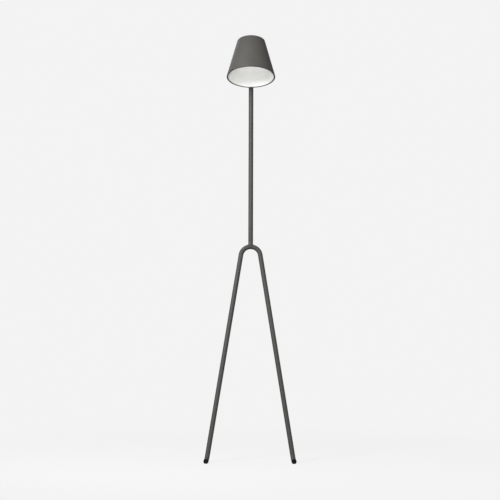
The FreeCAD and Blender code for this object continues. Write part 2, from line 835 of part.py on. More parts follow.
def cone_radius(height, depth):
    """Expression for the radius at a height, a depth square into the shade's outer face."""
    return f"dims.rim_radius - ({height}) * {CONE} - ({depth}) * {SKIN}"


def arm_drill(name):
    """A cutter along the arm's axis, in the shade frame."""
    cutter = rod(name, "dims.arm_nipple_od / 2 + 0.1", 60, Vector(), Z_AXIS)
    cutter.Placement = SHADE.inverse().multiply(ARM)
    return cutter


def make_shade_shell():
    """A spun shell: closed flat top, rounded shoulder, straight cone and an inward lip."""
    wall = "dims.shell_wall"
    top = "dims.shade_height"
    under_top = f"{top} - {wall}"
    body = turned(
        "shade_shell_spun",
        [
            (0, under_top),
            (cone_radius(under_top, wall), under_top),
            (cone_radius(wall, wall), wall),
            ("dims.rim_radius - dims.lip_width", wall),
            ("dims.rim_radius - dims.lip_width", 0),
            ("dims.rim_radius", 0),
            ("dims.top_radius", top),
            (0, top),
        ],
    )
    rounded(body, "dims.top_round", ring_at(dim("top_radius"), dim("shade_height")))
    inner = body.evalExpression(cone_radius(under_top, wall))
    inner_level = dim("shade_height") - dim("shell_wall")
    rounded(body, f"dims.top_round - {wall}", ring_at(inner, inner_level))
    finish(less("shade_shell", body, arm_drill("shell_hole")), "shade_shell", SHADE)


def make_shade_liner():
    """The white inner reflector, with a foot on the lip and a hole for the lampholder."""
    wall = "dims.liner_wall"
    foot = "dims.shell_wall"
    top = "dims.liner_top"
    inside = "dims.rim_radius - dims.lip_width"

    def inner(height):
        return f"{inside} - ({height} - {foot}) * {CONE}"

    body = turned(
        "shade_liner_spun",
        [
            (inside, foot),
            (f"{inside} + dims.liner_foot", foot),
            (f"{inside} + dims.liner_foot", f"{foot} + {wall}"),
            (f"{inner(f'{foot} + {wall}')} + {wall} * {SKIN}", f"{foot} + {wall}"),
            (f"{inner(top)} + {wall} * {SKIN}", top),
            ("dims.liner_hole / 2", top),
            ("dims.liner_hole / 2", f"{top} - {wall}"),
            (inner(f"{top} - {wall}"), f"{top} - {wall}"),
        ],
    )
    liner_edge = body.evalExpression(f"{inner(top)} + {wall} * {SKIN}")
    rounded(body, "dims.top_round", ring_at(liner_edge, dim("liner_top")))
    under = dim("liner_top") - dim("liner_wall")
    under_edge = body.evalExpression(inner(f"{top} - {wall}"))
    rounded(body, f"dims.top_round - {wall}", ring_at(under_edge, under))
    finish(body, "shade_liner", SHADE)


def make_holder_bracket():
    """A bent strap: one leg under the nut on the rear wall, the other over the lampholder."""
    body = doc.addObject("PartDesign::Body", "holder_bracket_bent")
    sketch = sketch_on(body, "YZ_Plane")
    outer = "dims.shell_wall + 0.65"
    inner = f"{outer} + dims.strap_wall"
    low = "dims.liner_top + 3.5"
    high = "dims.shade_height - 12"
    corners = [
        (cone_radius(low, outer), low),
        (cone_radius(high, outer), high),
        (-9, high),
        (-9, f"{high} - dims.strap_wall"),
        (cone_radius(f"{high} - dims.strap_wall", inner), f"{high} - dims.strap_wall"),
        (cone_radius(low, inner), low),
    ]
    outline(sketch, corners)
    pad = body.newObject("PartDesign::Pad", "holder_bracket_pad")
    pad.Profile = sketch
    pad.setExpression("Length", "dims.strap_width")
    pad.SideType = "Symmetric"
    doc.recompute()
    stud_start = Vector(0, 0, dim("holder_joint"))
    stud_hole = rod("bracket_stud_hole", "dims.arm_nipple_od / 2 + 0.1", 30, stud_start, Z_AXIS)
    body = less("holder_bracket", body, arm_drill("bracket_arm_hole"), stud_hole)
    finish(body, "holder_bracket", SHADE)


def make_lampholder():
    """Lampholder: a cap with its stud and lead hole, a threaded body, ring, sleeve, contact."""
    outer = "dims.holder_od / 2"
    joint = "dims.holder_joint"
    top = "dims.holder_top"
    stud = "dims.arm_nipple_od / 2"
    cap = turned(
        "lampholder_cap_turned",
        [
            (0, f"{top} - 2.5"),
            (f"{outer} - 2.2", f"{top} - 2.5"),
            (f"{outer} - 2.2", joint),
            (outer, joint),
            (outer, f"{top} - 3.5"),
            (f"{outer} - 2.5", top),
            (stud, top),
            (stud, f"{top} + 8"),
            (0, f"{top} + 8"),
        ],
    )
    lead_way = head_route[-2] - head_route[-1]
    lead_hole = rod("cap_lead_hole", "dims.lead_od / 2 + 0.6", 30, head_route[-1], lead_way)
    finish(less("lampholder_cap", cap, lead_hole), "lampholder_cap", SHADE)

    socket = "dims.socket_od / 2"
    body = turned(
        "lampholder_body_turned",
        [
            (socket, "dims.holder_low"),
            (outer, "dims.holder_low"),
            (outer, "dims.liner_top"),
            ("dims.flange_od / 2", "dims.liner_top"),
            ("dims.flange_od / 2", "dims.liner_top + 2.5"),
            (outer, "dims.liner_top + 2.5"),
            (outer, joint),
            (3, joint),
            (3, f"{joint} - 3"),
            (socket, f"{joint} - 3"),
        ],
    )
    finish(body, "lampholder_body", SHADE)

    ring_bore = f"{outer} + dims.running_gap"
    under_liner = "dims.liner_top - dims.liner_wall"
    ring = turned(
        "shade_ring_turned",
        [
            (ring_bore, f"{under_liner} - 7"),
            ("dims.flange_od / 2 + 1", f"{under_liner} - 7"),
            ("dims.flange_od / 2 + 2.5", f"{under_liner} - 2"),
            ("dims.flange_od / 2 + 2.5", under_liner),
            (ring_bore, under_liner),
        ],
    )
    finish(ring, "shade_ring", SHADE)

    sleeve_low = "dims.holder_low + 1"
    sleeve_high = f"{joint} - 4.5"
    sleeve = turned(
        "socket_sleeve_turned",
        [
            (f"{socket} - 0.9", sleeve_low),
            (f"{socket} - 0.1", sleeve_low),
            (f"{socket} - 0.1", sleeve_high),
            (f"{socket} - 0.9", sleeve_high),
        ],
    )
    finish(sleeve, "socket_sleeve", SHADE)

    strip = block("contact_strip", Vector(-1.5, -6, 128), Vector(1.5, 2, 128.5))
    button = rod("contact_button", 1.4, 1.1, Vector(0, 0, 127), Z_AXIS)
    tail = block("contact_tail", Vector(-1.5, 0, 128), Vector(1.5, 2, 136))
    finish(join("centre_contact", strip, button, tail), "centre_contact", SHADE)


def make_holder_nut():
    """The nut that holds the lampholder's stud up to the bracket."""
    nut = doc.addObject("Part::Prism", "holder_nut_hexagon")
    nut.Circumradius = 8.08
    nut.Height = 4
    bore = rod("holder_nut_bore", "dims.arm_nipple_od / 2", 6, Vector(0, 0, -1), Z_AXIS)
    place = SHADE.multiply(Placement(Vector(0, 0, dim("shade_height") - 12), Rotation()))
    finish(less("holder_nut", nut, bore), "holder_nut", place)


def make_bulb():
    """A small opal globe bulb: glass envelope, screw cap and end contact."""
    globe = dim("bulb_od") / 2
    centre = dim("bulb_tip") + globe
    neck_radius = 8.0
    neck_level = centre + 25.5
    wall = 1.0
    sphere = Part.makeSphere(globe, Vector(0, 0, centre))
    waist_radius = 15.0
    waist_level = centre + math.sqrt(globe**2 - waist_radius**2)
    flare = Part.makeCone(waist_radius, neck_radius, neck_level - waist_level,
                          Vector(0, 0, waist_level))
    outer = sphere.fuse(flare)
    hollow = Part.makeSphere(globe - wall, Vector(0, 0, centre))
    throat = Part.makeCone(waist_radius - wall - 0.3, neck_radius - wall,
                           neck_level - waist_level + 2, Vector(0, 0, waist_level - 2))
    glass = outer.cut(hollow.fuse(throat))
    finish(shaped("bulb_glass_blown", glass), "bulb_glass", SHADE)

    cap = turned(
        "bulb_cap_turned",
        [
            (6.4, neck_level),
            (8, neck_level),
            (6.9, f"{neck_level} + 3"),
            (6.9, "dims.bulb_tip + dims.bulb_length - 3.5"),
            (4.5, "dims.bulb_tip + dims.bulb_length - 1.5"),
            (3.6, "dims.bulb_tip + dims.bulb_length - 1.5"),
            (6.4, "dims.bulb_tip + dims.bulb_length - 4"),
        ],
    )
    finish(cap, "bulb_cap", SHADE)
    contact = turned(
        "bulb_contact_turned",
        [
            (0, "dims.bulb_tip + dims.bulb_length - 2.2"),
            (3.4, "dims.bulb_tip + dims.bulb_length - 2.2"),
            (3.4, "dims.bulb_tip + dims.bulb_length - 1.2"),
            (2, "dims.bulb_tip + dims.bulb_length"),
            (0, "dims.bulb_tip + dims.bulb_length"),
        ],
    )
    finish(contact, "bulb_contact", SHADE)


def arm_point(distance):
    """A shade-frame point on the arm's axis, that far from the tilt axis."""
    rear = hinge_rear - distance * math.cos(cone_angle)
    up = hinge_up - distance * math.sin(cone_angle)
    return Vector(0, rear, up)


# The lead inside the shade: out of the nipple, across the chamber and into the holder's cap.
head_route = [
    arm_point(16),
    arm_point(50),
    Vector(0, 28, 133),
    Vector(0, 6, 139.5),
]


make_leg_tube()
make_cable_gland()
make_toe_caps()
make_crown_spigot()
make_crown_weld()
make_pole()
make_lock_screw()
make_pole_top_plug()
make_stop_pin()
make_swivel_friction_disc()
make_wall_bumper()
make_bumper_screw()
make_mains_lead()
make_knuckle_base()
make_swivel_nipple()
make_swivel_nut_and_washer()
make_pivot_stack()
make_knuckle_head()
make_arm()
make_shade_shell()
make_shade_liner()
make_holder_bracket()
make_lampholder()
make_holder_nut()
make_bulb()
make_lead("head_lead", head_route, SHADE)

# --- check and write --------------------------------------------------------------------------

doc.recompute()
for thing in doc.Objects:
    if "Invalid" in thing.State or "Error" in thing.State:
        raise RuntimeError(f"{thing.Name} did not recompute: {thing.State}")
for label, piece in finished.items():
    if piece.Shape.isNull() or not piece.Shape.isValid():
        raise RuntimeError(f"{label} has no valid shape")

os.makedirs("parts", exist_ok=True)
whole_box = FreeCAD.BoundBox()
for label, piece in finished.items():
    solids = piece.Shape.Solids
    shape = solids[0] if len(solids) == 1 else piece.Shape
    shape.exportStep(f"parts/{label}.step")
    whole_box.add(shape.BoundBox)
    print(f"{label:24s} solids {len(solids)}  volume {shape.Volume / 1000:9.2f} cm3")
print("pieces", len(finished))
print("box", whole_box)
print("wall plane y", round(wall_plane, 2), "hinge", LEAN.multVec(hinge))
print("stand shift", stand_shift, "arm wall reach", round(wall_reach, 2))
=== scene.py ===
# %% [markdown]
# # A leaning floor lamp
# The lamp is one bent tube with two legs, a straight pole and a small cone shade on a knuckle.
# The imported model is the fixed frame: every piece below is modelled where that frame says, in
# metres, with +Z up from the floor and +Y towards the wall that the lamp leans on.

# %% Load the frame
import json
import math

import bmesh
import bpy
from mathutils import Euler, Matrix, Vector


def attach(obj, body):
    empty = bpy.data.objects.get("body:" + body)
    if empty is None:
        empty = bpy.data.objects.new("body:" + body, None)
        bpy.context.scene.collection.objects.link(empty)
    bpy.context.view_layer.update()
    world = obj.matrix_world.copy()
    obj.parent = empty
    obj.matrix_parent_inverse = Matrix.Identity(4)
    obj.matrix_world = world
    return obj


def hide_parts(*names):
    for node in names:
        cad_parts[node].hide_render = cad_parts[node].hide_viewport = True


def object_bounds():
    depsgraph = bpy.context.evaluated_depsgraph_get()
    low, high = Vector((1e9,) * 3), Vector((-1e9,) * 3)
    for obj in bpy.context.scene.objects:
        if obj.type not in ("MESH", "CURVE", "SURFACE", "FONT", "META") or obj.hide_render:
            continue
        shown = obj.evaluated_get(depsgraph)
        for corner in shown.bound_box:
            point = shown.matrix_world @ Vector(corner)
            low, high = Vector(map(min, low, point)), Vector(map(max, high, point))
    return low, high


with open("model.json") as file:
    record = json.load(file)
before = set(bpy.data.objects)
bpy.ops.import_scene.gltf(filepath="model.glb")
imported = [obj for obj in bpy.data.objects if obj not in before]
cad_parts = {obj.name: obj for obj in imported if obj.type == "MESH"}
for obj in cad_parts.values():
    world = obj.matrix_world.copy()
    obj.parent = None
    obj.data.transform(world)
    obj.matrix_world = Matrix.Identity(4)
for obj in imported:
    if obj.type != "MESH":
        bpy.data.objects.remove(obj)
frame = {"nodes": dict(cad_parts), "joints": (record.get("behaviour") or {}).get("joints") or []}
nodes = frame["nodes"]
cad_low, cad_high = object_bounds()
mm = 0.001
print("CAD box", [round(v, 4) for v in (*cad_low, *cad_high)])

# %% [markdown]
# The camera stands far back and nearly level, as for a catalogue picture, so the pole stays
# straight and the opening of the shade shows as a narrow ellipse. A long lens keeps that
# perspective. The tiny turns set the lamp upright in the frame.

# %% Camera
camera = bpy.data.objects.new("camera", bpy.data.cameras.new("camera"))
bpy.context.scene.collection.objects.link(camera)
bpy.context.scene.camera = camera
camera.location = (0.038, -9.0, 0.8089)
camera.rotation_euler = Euler([math.radians(a) for a in (90.148, -0.097, 0.257)])
camera.data.lens = 162.4
camera.data.clip_end = 100
print("camera at", tuple(round(v, 3) for v in camera.location))

# %% [markdown]
# A plain studio. The world that the camera sees is an even pale grey; the world that lights the
# lamp is darker and nearly even, a little stronger at the horizon. One large softbox at the
# front left gives the tubes their bright left flank and dark right edge. It stands close, so its
# light falls off down the legs. A weaker box at the front right opens up the shade's far side, and
# one behind lights the joint that faces the wall.

# %% World and lights
PALE = 0.896
scene = bpy.context.scene
scene.view_settings.view_transform = "Standard"
world = bpy.data.worlds.new("studio")
scene.world = world
world.use_nodes = True
sky = world.node_tree
sky.nodes.clear()
sky_out = sky.nodes.new("ShaderNodeOutputWorld")
seen = sky.nodes.new("ShaderNodeBackground")
seen.inputs["Color"].default_value = (PALE, PALE, PALE, 1)
lit = sky.nodes.new("ShaderNodeBackground")
way = sky.nodes.new("ShaderNodeTexCoord")
split = sky.nodes.new("ShaderNodeSeparateXYZ")
sky.links.new(way.outputs["Generated"], split.inputs[0])
level = sky.nodes.new("ShaderNodeMapRange")
level.inputs["From Min"].default_value = -1.0
level.inputs["From Max"].default_value = 1.0
sky.links.new(split.outputs["Z"], level.inputs["Value"])
grade = sky.nodes.new("ShaderNodeValToRGB")
BELOW, HORIZON, ABOVE = 0.28, 0.32, 0.26
grade.color_ramp.elements[0].color = (BELOW, BELOW, BELOW, 1)
grade.color_ramp.elements[1].color = (ABOVE, ABOVE, ABOVE, 1)
grade.color_ramp.elements.new(0.5).color = (HORIZON, HORIZON, HORIZON, 1)
sky.links.new(level.outputs["Result"], grade.inputs["Fac"])
sky.links.new(grade.outputs["Color"], lit.inputs["Color"])
ray = sky.nodes.new("ShaderNodeLightPath")
choice = sky.nodes.new("ShaderNodeMixShader")
sky.links.new(ray.outputs["Is Camera Ray"], choice.inputs["Fac"])
sky.links.new(lit.outputs[0], choice.inputs[1])
sky.links.new(seen.outputs[0], choice.inputs[2])
sky.links.new(choice.outputs[0], sky_out.inputs["Surface"])


def softbox(name, place, target, width, height, watts):
    """A soft rectangular light that faces a point."""
    light = bpy.data.lights.new(name, "AREA")
    light.shape = "RECTANGLE"
    light.size = width
    light.size_y = height
    light.energy = watts
    holder = bpy.data.objects.new(name, light)
    scene.collection.objects.link(holder)
    holder.location = place
    aim_way = Vector(target) - Vector(place)
    holder.rotation_euler = aim_way.to_track_quat("-Z", "Y").to_euler()
    return holder


middle = (cad_low + cad_high) / 2
softbox("key_light", (-1.55, -2.1, 2.5), middle + Vector((0, 0, 0.6)), 0.9, 1.1, 96)
softbox("fill_light", (1.9, -3.2, 2.2), middle + Vector((0, 0, 0.6)), 1.2, 1.2, 28)
softbox("back_light", (-1.6, 3.2, 2.6), middle + Vector((0, 0, 0.6)), 1.2, 1.2, 10)

# %% [markdown]
# The floor is a pale card that glows almost as bright as the background and fades into it, so
# there is no horizon. Only a small part of its brightness is reflected light; that part lets the
# toes throw a faint shadow.

# %% Floor
bpy.ops.object.select_all(action="DESELECT")
bpy.ops.mesh.primitive_circle_add(vertices=96, radius=2.0, fill_type="NGON")
floor = bpy.context.object
floor.name = "floor"
floor.visible_diffuse = False
floor.visible_glossy = False
pale = bpy.data.materials.new("pale_floor")
pale.use_nodes = True
card = pale.node_tree
card.nodes.clear()
glow = card.nodes.new("ShaderNodeEmission")
GLOW = 0.80
glow.inputs["Color"].default_value = (GLOW, GLOW, GLOW, 1)
matt = card.nodes.new("ShaderNodeBsdfDiffuse")
matt.inputs["Color"].default_value = (0.12, 0.12, 0.12, 1)
lit_card = card.nodes.new("ShaderNodeAddShader")
card.links.new(glow.outputs[0], lit_card.inputs[0])
card.links.new(matt.outputs[0], lit_card.inputs[1])
spot = card.nodes.new("ShaderNodeTexCoord")
far = card.nodes.new("ShaderNodeVectorMath")
far.operation = "LENGTH"
card.links.new(spot.outputs["Object"], far.inputs[0])
fade = card.nodes.new("ShaderNodeMapRange")
fade.interpolation_type = "SMOOTHSTEP"
fade.inputs["From Min"].default_value = 0.5
fade.inputs["From Max"].default_value = 1.9
card.links.new(far.outputs["Value"], fade.inputs["Value"])
clear = card.nodes.new("ShaderNodeBsdfTransparent")
blend = card.nodes.new("ShaderNodeMixShader")
card.links.new(fade.outputs["Result"], blend.inputs["Fac"])
card.links.new(lit_card.outputs[0], blend.inputs[1])
card.links.new(clear.outputs[0], blend.inputs[2])
card_out = card.nodes.new("ShaderNodeOutputMaterial")
card.links.new(blend.outputs[0], card_out.inputs["Surface"])
floor.data.materials.append(pale)
print("floor radius 2.0 m")

# %% [markdown]
# ## Frames to model in
# A leaning lamp is awkward to model where it stands. Each piece is modelled upright at the
# origin and then turned into place: LAMP holds the pole upright with its origin at the top of
# the crown, ARM points along the nipple into the shade, and SHADE stands on the shade's rim.

# %% Frames
joints = {joint["name"]: joint for joint in frame["joints"]}
hinge = Vector(joints["shade_swivel"]["pos_m"])
pole_way = Vector(joints["shade_swivel"]["axis"])
lean = math.atan2(pole_way.y, pole_way.z)
hinge_height = 806 * mm
LAMP = Matrix.Translation(hinge - pole_way * hinge_height) @ Matrix.Rotation(-lean, 4, "X")

rim_radius = 98 * mm
top_radius = 55.5 * mm
shade_height = 162 * mm
shade_tilt = math.radians(7.9)
rim_stand_off = 16 * mm
rim_rear = Vector((0, -rim_stand_off, 663.2 * mm))
cone_angle = math.atan((rim_radius - top_radius) / shade_height)
rim_middle = rim_rear - Vector((0, math.cos(shade_tilt), -math.sin(shade_tilt))) * rim_radius
SHADE = LAMP @ Matrix.Translation(rim_middle) @ Matrix.Rotation(-shade_tilt, 4, "X")
arm_turn = math.pi / 2 + cone_angle - shade_tilt
ARM = LAMP @ Matrix.Translation((0, 0, hinge_height)) @ Matrix.Rotation(arm_turn, 4, "X")
HINGE = LAMP @ Matrix.Translation((0, 0, hinge_height))
ALONG_X = Matrix(((0, 0, 1, 0), (1, 0, 0, 0), (0, 1, 0, 0), (0, 0, 0, 1)))


def aimed(start, direction):
    """A matrix that stands a piece on a point, its Z along a direction."""
    turn = Vector(direction).to_track_quat("Z", "Y").to_matrix().to_4x4()
    return Matrix.Translation(start) @ turn


print("lean", round(math.degrees(lean), 2), "rim centre", (SHADE @ Vector()).to_tuple(4))

# %% [markdown]
# ## Bench tools
# These few helpers are what the hand does in Blender: take one object, go into edit mode, pick
# faces or edges by where they are, push a modifier through, and put the finished piece in place.

# %% Helpers


def take(piece):
    """Makes a piece the only selected and the active one."""
    bpy.ops.object.select_all(action="DESELECT")
    piece.select_set(True)
    bpy.context.view_layer.objects.active = piece


def edit(piece):
    take(piece)
    bpy.ops.object.mode_set(mode="EDIT")


def done():
    bpy.ops.object.mode_set(mode="OBJECT")


def pick_faces(piece, test):
    """In edit mode, selects the faces whose middle and normal pass a test."""
    bpy.ops.mesh.select_mode(type="FACE")
    bpy.ops.mesh.select_all(action="DESELECT")
    mesh = bmesh.from_edit_mesh(piece.data)
    for face in mesh.faces:
        face.select_set(test(face.calc_center_median(), face.normal))
    bmesh.update_edit_mesh(piece.data)


def pick_edges(piece, test):
    """In edit mode, selects the edges whose two ends pass a test."""
    bpy.ops.mesh.select_mode(type="EDGE")
    bpy.ops.mesh.select_all(action="DESELECT")
    mesh = bmesh.from_edit_mesh(piece.data)
    for edge in mesh.edges:
        edge.select_set(all(test(vert.co) for vert in edge.verts))
    bmesh.update_edit_mesh(piece.data)


def radius_of(point):
    return math.hypot(point.x, point.y)


def near(value, target, room=0.05 * mm):
    return abs(value - target) < room


def change(piece, kind, **settings):
    """Adds a modifier with its settings and applies it."""
    take(piece)
    modifier = piece.modifiers.new(kind.lower(), kind)
    for setting, value in settings.items():
        setattr(modifier, setting, value)
    bpy.ops.object.modifier_apply(modifier=modifier.name)


def ease(piece, width, segments=3, angle=40):
    """Rounds every sharp edge a little, as tumbling or a thick paint coat does."""
    change(piece, "BEVEL", width=width, segments=segments, limit_method="ANGLE",
           angle_limit=math.radians(angle), use_clamp_overlap=True)


def outward(piece):
    edit(piece)
    bpy.ops.mesh.select_all(action="SELECT")
    bpy.ops.mesh.remove_doubles(threshold=0.002 * mm)
    bpy.ops.mesh.normals_make_consistent(inside=False)
    done()


def turn_mesh(piece, matrix):
    """Moves the mesh itself, so that the object stays at the origin."""
    take(piece)
    piece.matrix_world = matrix
    bpy.ops.object.transform_apply(location=True, rotation=True, scale=True)


def lathe(name, profile, sides=64, ring=False):
    """Grows a turned piece from (radius, height) corners, one extrusion for each.

    A ring is open in the middle and its profile comes back to where it began.
    """
    bpy.ops.object.select_all(action="DESELECT")
    (radius, height), *rest = profile
    bpy.ops.mesh.primitive_circle_add(vertices=sides, radius=radius, location=(0, 0, height),
                                      fill_type="NOTHING" if ring else "NGON")
    piece = bpy.context.object
    piece.name = piece.data.name = name
    bpy.ops.object.transform_apply(location=True, rotation=True, scale=True)
    edit(piece)
    bpy.ops.mesh.select_all(action="SELECT")
    for next_radius, next_height in rest:
        bpy.ops.mesh.extrude_region_move(
            TRANSFORM_OT_translate={"value": (0, 0, next_height - height)})
        share = next_radius / radius
        bpy.ops.transform.resize(value=(share, share, 1), center_override=(0, 0, next_height))
        radius, height = next_radius, next_height
    done()
    outward(piece)
    return piece


def rod(name, radius, length, start=(0, 0, 0), direction=(0, 0, 1), sides=48):
    """A plain round bar, used as a tool for cutting or as a limb to be joined on."""
    piece = lathe(name, [(radius, 0), (radius, length)], sides)
    turn_mesh(piece, aimed(start, direction))
    return piece


def slab(name, low, high):
    """A plain block between two corners, used like a rod."""
    bpy.ops.object.select_all(action="DESELECT")
    bpy.ops.mesh.primitive_cube_add(size=1)
    piece = bpy.context.object
    piece.name = name
    low, high = Vector(low), Vector(high)
    turn_mesh(piece, Matrix.Translation((low + high) / 2) @ Matrix.Diagonal((*(high - low), 1)))
    return piece


def combine(piece, operation, *others):
    """Joins on or cuts away other closed pieces, which are used up."""
    for other in others:
        change(piece, "BOOLEAN", object=other, operation=operation, solver="EXACT")
        bpy.data.objects.remove(other)


def place(piece, matrix, material, body, slot, *stands_for, smooth=35):
    """Finishes a piece: shading, place, material, body and the CAD nodes it stands for. The slot
    argument is not used.
    """
    turn_mesh(piece, matrix)
    bpy.ops.object.shade_smooth_by_angle(angle=math.radians(smooth))
    piece.data.materials.clear()
    piece.data.materials.append(material)
    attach(piece, body)
    if stands_for:
        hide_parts(*stands_for)
    print(f"{piece.name}: {len(piece.data.polygons)} faces")
    return piece


# %% [markdown]
# ## Finishes
# Every finish is a small node tree that reads Object coordinates, so its grain has a real size in
# metres. A finish is mostly in how its roughness and its tiny bumps vary; the colour varies too,
# but only a little.

# %% Material helpers


class Finish:
    """A material under construction: its tree, its shader and the nodes added so far."""

    def __init__(self, name, color, roughness, metallic=0.0):
        self.material = bpy.data.materials.new(name)
        self.material.use_nodes = True
        self.tree = self.material.node_tree
        self.shader = self.tree.nodes["Principled BSDF"]
        self.shader.inputs["Base Color"].default_value = (*color, 1)
        self.shader.inputs["Roughness"].default_value = roughness
        self.shader.inputs["Metallic"].default_value = metallic
        self.place = self.tree.nodes.new("ShaderNodeTexCoord").outputs["Object"]

    def node(self, kind, **inputs):
        made = self.tree.nodes.new(kind)
        for name, value in inputs.items():
            self.feed(made.inputs[name.replace("_", " ")], value)
        return made

    def feed(self, socket, value):
        """Links a node's output into a socket, or sets the socket's own value."""
        if isinstance(value, bpy.types.NodeSocket):
            self.tree.links.new(value, socket)
        else:
            socket.default_value = value

    def stretched(self, scale):
        return self.node("ShaderNodeMapping", Vector=self.place, Scale=scale).outputs[0]

    def noise(self, per_metre, detail=3.0, rough=0.5, where=None):
        made = self.node("ShaderNodeTexNoise", Vector=where or self.place, Scale=per_metre,
                         Detail=detail, Roughness=rough)
        return made.outputs["Fac"]

    def span(self, source, low, high, from_low=0.3, from_high=0.7):
        made = self.node("ShaderNodeMapRange", Value=source)
        made.inputs["From Min"].default_value = from_low
        made.inputs["From Max"].default_value = from_high
        made.inputs["To Min"].default_value = low
        made.inputs["To Max"].default_value = high
        return made.outputs["Result"]

    def blend(self, share, first, second):
        made = self.tree.nodes.new("ShaderNodeMix")
        made.data_type = "RGBA"
        self.feed(made.inputs[0], share)
        made.inputs[6].default_value = (*first, 1)
        made.inputs[7].default_value = (*second, 1)
        return made.outputs[2]

    def tint(self, source, first, second):
        self.feed(self.shader.inputs["Base Color"], self.blend(source, first, second))

    def rough(self, source, low, high):
        self.feed(self.shader.inputs["Roughness"], self.span(source, low, high))

    def bumps(self, *layers):
        """Stacks bump layers, each a height source and its depth in metres."""
        below = None
        for source, depth in layers:
            bump = self.node("ShaderNodeBump", Height=source, Distance=depth)
            if below is not None:
                self.feed(bump.inputs["Normal"], below)
            below = bump.outputs["Normal"]
        self.feed(self.shader.inputs["Normal"], below)


def scaled(color, share):
    return tuple(channel * share for channel in color)


# %% [markdown]
# The stand, the knuckle and the shade are powder coated in one warm dark grey. Powder melts into
# a fine leathery skin: the colour stays even, so most of the finish is a small cell pattern in
# the bumps and a slight unevenness of the gloss. The reflector has the same coat in white, finer
# and a little glossier. The shade's copy of the grey is made lighter. That is painted light, for
# the extra light on its upturned front, not a different paint.

# %% Powder coat
GREY = (0.068, 0.065, 0.060)


def powder_coat(name, color, grain=1400, roughness=(0.50, 0.60)):
    """Baked powder: a fine leathery skin, even in colour, that scatters light softly."""
    coat = Finish(name, color, 0.55)
    coat.shader.inputs["Specular IOR Level"].default_value = 0.35
    coat.tint(coat.span(coat.noise(18, 2), 0, 1), scaled(color, 0.96), scaled(color, 1.04))
    coat.rough(coat.noise(500, 3), *roughness)
    skin = coat.node("ShaderNodeTexVoronoi", Vector=coat.place, Scale=grain)
    skin.feature = "SMOOTH_F1"
    coat.bumps((skin.outputs["Distance"], 0.00012), (coat.noise(320, 3), 0.00008))
    return coat.material


stand_coat = powder_coat("stand_coat", GREY)
# Painted light: the shade's coat is the same grey made 1.28 times lighter.
shade_coat_painted_light = powder_coat("shade_coat_painted_light", scaled(GREY, 1.28), grain=1100)
liner_coat = powder_coat("liner_coat", (0.86, 0.86, 0.84), grain=900, roughness=(0.42, 0.50))
print("powder coats made")

# %% [markdown]
# The small parts are bought in. Rubber is dull with a pale bloom. Turned metal keeps fine lines
# from the tool, so its noise is stretched thin along the turning axis. Moulded plastic is even,
# with a fine spark-eroded skin. Opal glass has a hard gloss, and light soaks in below it.

# %% Rubber, steel, brass and plastics


def rubber_finish():
    """Moulded black rubber: dull, with a bloom of paler dust in its fine pores."""
    made = Finish("moulded_rubber", (0.007, 0.007, 0.007), 0.7)
    made.shader.inputs["Specular IOR Level"].default_value = 0.25
    bloom = made.span(made.noise(140, 4, 0.6), 0, 1)
    made.tint(bloom, (0.005, 0.005, 0.005), (0.011, 0.010, 0.010))
    made.rough(made.noise(900, 3), 0.62, 0.82)
    made.bumps((made.noise(1800, 4, 0.6), 0.00010))
    return made.material


def turned_metal(name, color, roughness, metallic=1.0, along=(60, 60, 2200)):
    """Lathe-turned metal: very fine lines round the piece, and a little uneven polish."""
    made = Finish(name, color, roughness, metallic)
    lines = made.noise(1.0, 3, 0.6, made.stretched(along))
    made.tint(made.span(lines, 0, 1), scaled(color, 0.88), scaled(color, 1.06))
    made.rough(lines, roughness * 0.8, roughness * 1.3)
    made.bumps((lines, 0.00003), (made.noise(260, 2), 0.00004))
    return made.material


def moulded_plastic(name, color, roughness):
    """Injection-moulded plastic: a spark-eroded skin and faint flow marks."""
    made = Finish(name, color, roughness)
    made.tint(made.span(made.noise(40, 2), 0, 1), scaled(color, 0.95), scaled(color, 1.03))
    made.rough(made.noise(700, 3), roughness * 0.85, roughness * 1.15)
    made.bumps((made.noise(1500, 3), 0.00006))
    return made.material


black_rubber = rubber_finish()
zinc = turned_metal("zinc_steel", (0.56, 0.56, 0.55), 0.34)
black_screw = turned_metal("black_oxide_steel", (0.035, 0.035, 0.038), 0.42, 0.9)
brass = turned_metal("plain_brass", (0.76, 0.58, 0.28), 0.3)
nickel = turned_metal("nickel_cap", (0.66, 0.64, 0.60), 0.24)
holder_plastic = moulded_plastic("holder_plastic", (0.80, 0.79, 0.76), 0.42)
nylon = moulded_plastic("nylon_disc", (0.70, 0.69, 0.64), 0.5)
sheath = moulded_plastic("lead_sheath", (0.03, 0.03, 0.03), 0.5)


def opal_glass():
    """Opal glass: white and glossy, and light soaks a little way into it."""
    made = Finish("opal_glass", (0.90, 0.89, 0.86), 0.08)
    made.tint(made.span(made.noise(60, 2), 0, 1), (0.88, 0.87, 0.84), (0.92, 0.91, 0.88))
    made.rough(made.noise(90, 2), 0.06, 0.12)
    made.shader.inputs["Subsurface Weight"].default_value = 0.4
    made.shader.inputs["Subsurface Radius"].default_value = (0.004, 0.004, 0.003)
    made.shader.inputs["Coat Weight"].default_value = 0.3
    made.bumps((made.noise(120, 1), 0.00003))
    return made.material


opal = opal_glass()

# %% [markdown]
# ## The bent tube
# The stand's lower half is one steel tube with three bends: a heel above each toe, and the crown
# where the two legs meet. A bender turns a straight tube round a former, and edit mode does the
# same: a ring of edges is extruded along each straight and spun round each bend's centre.

# %% Bent tube
tube_radius = 9.5 * mm
tube_wall = 1.5 * mm
crown_radius = 39 * mm
splay = math.radians(9)
heel_turn = math.radians(90 - 14 - 6)
leg_straight = 815 * mm
heel_radius = 27 * mm
toe_straight = 23 * mm


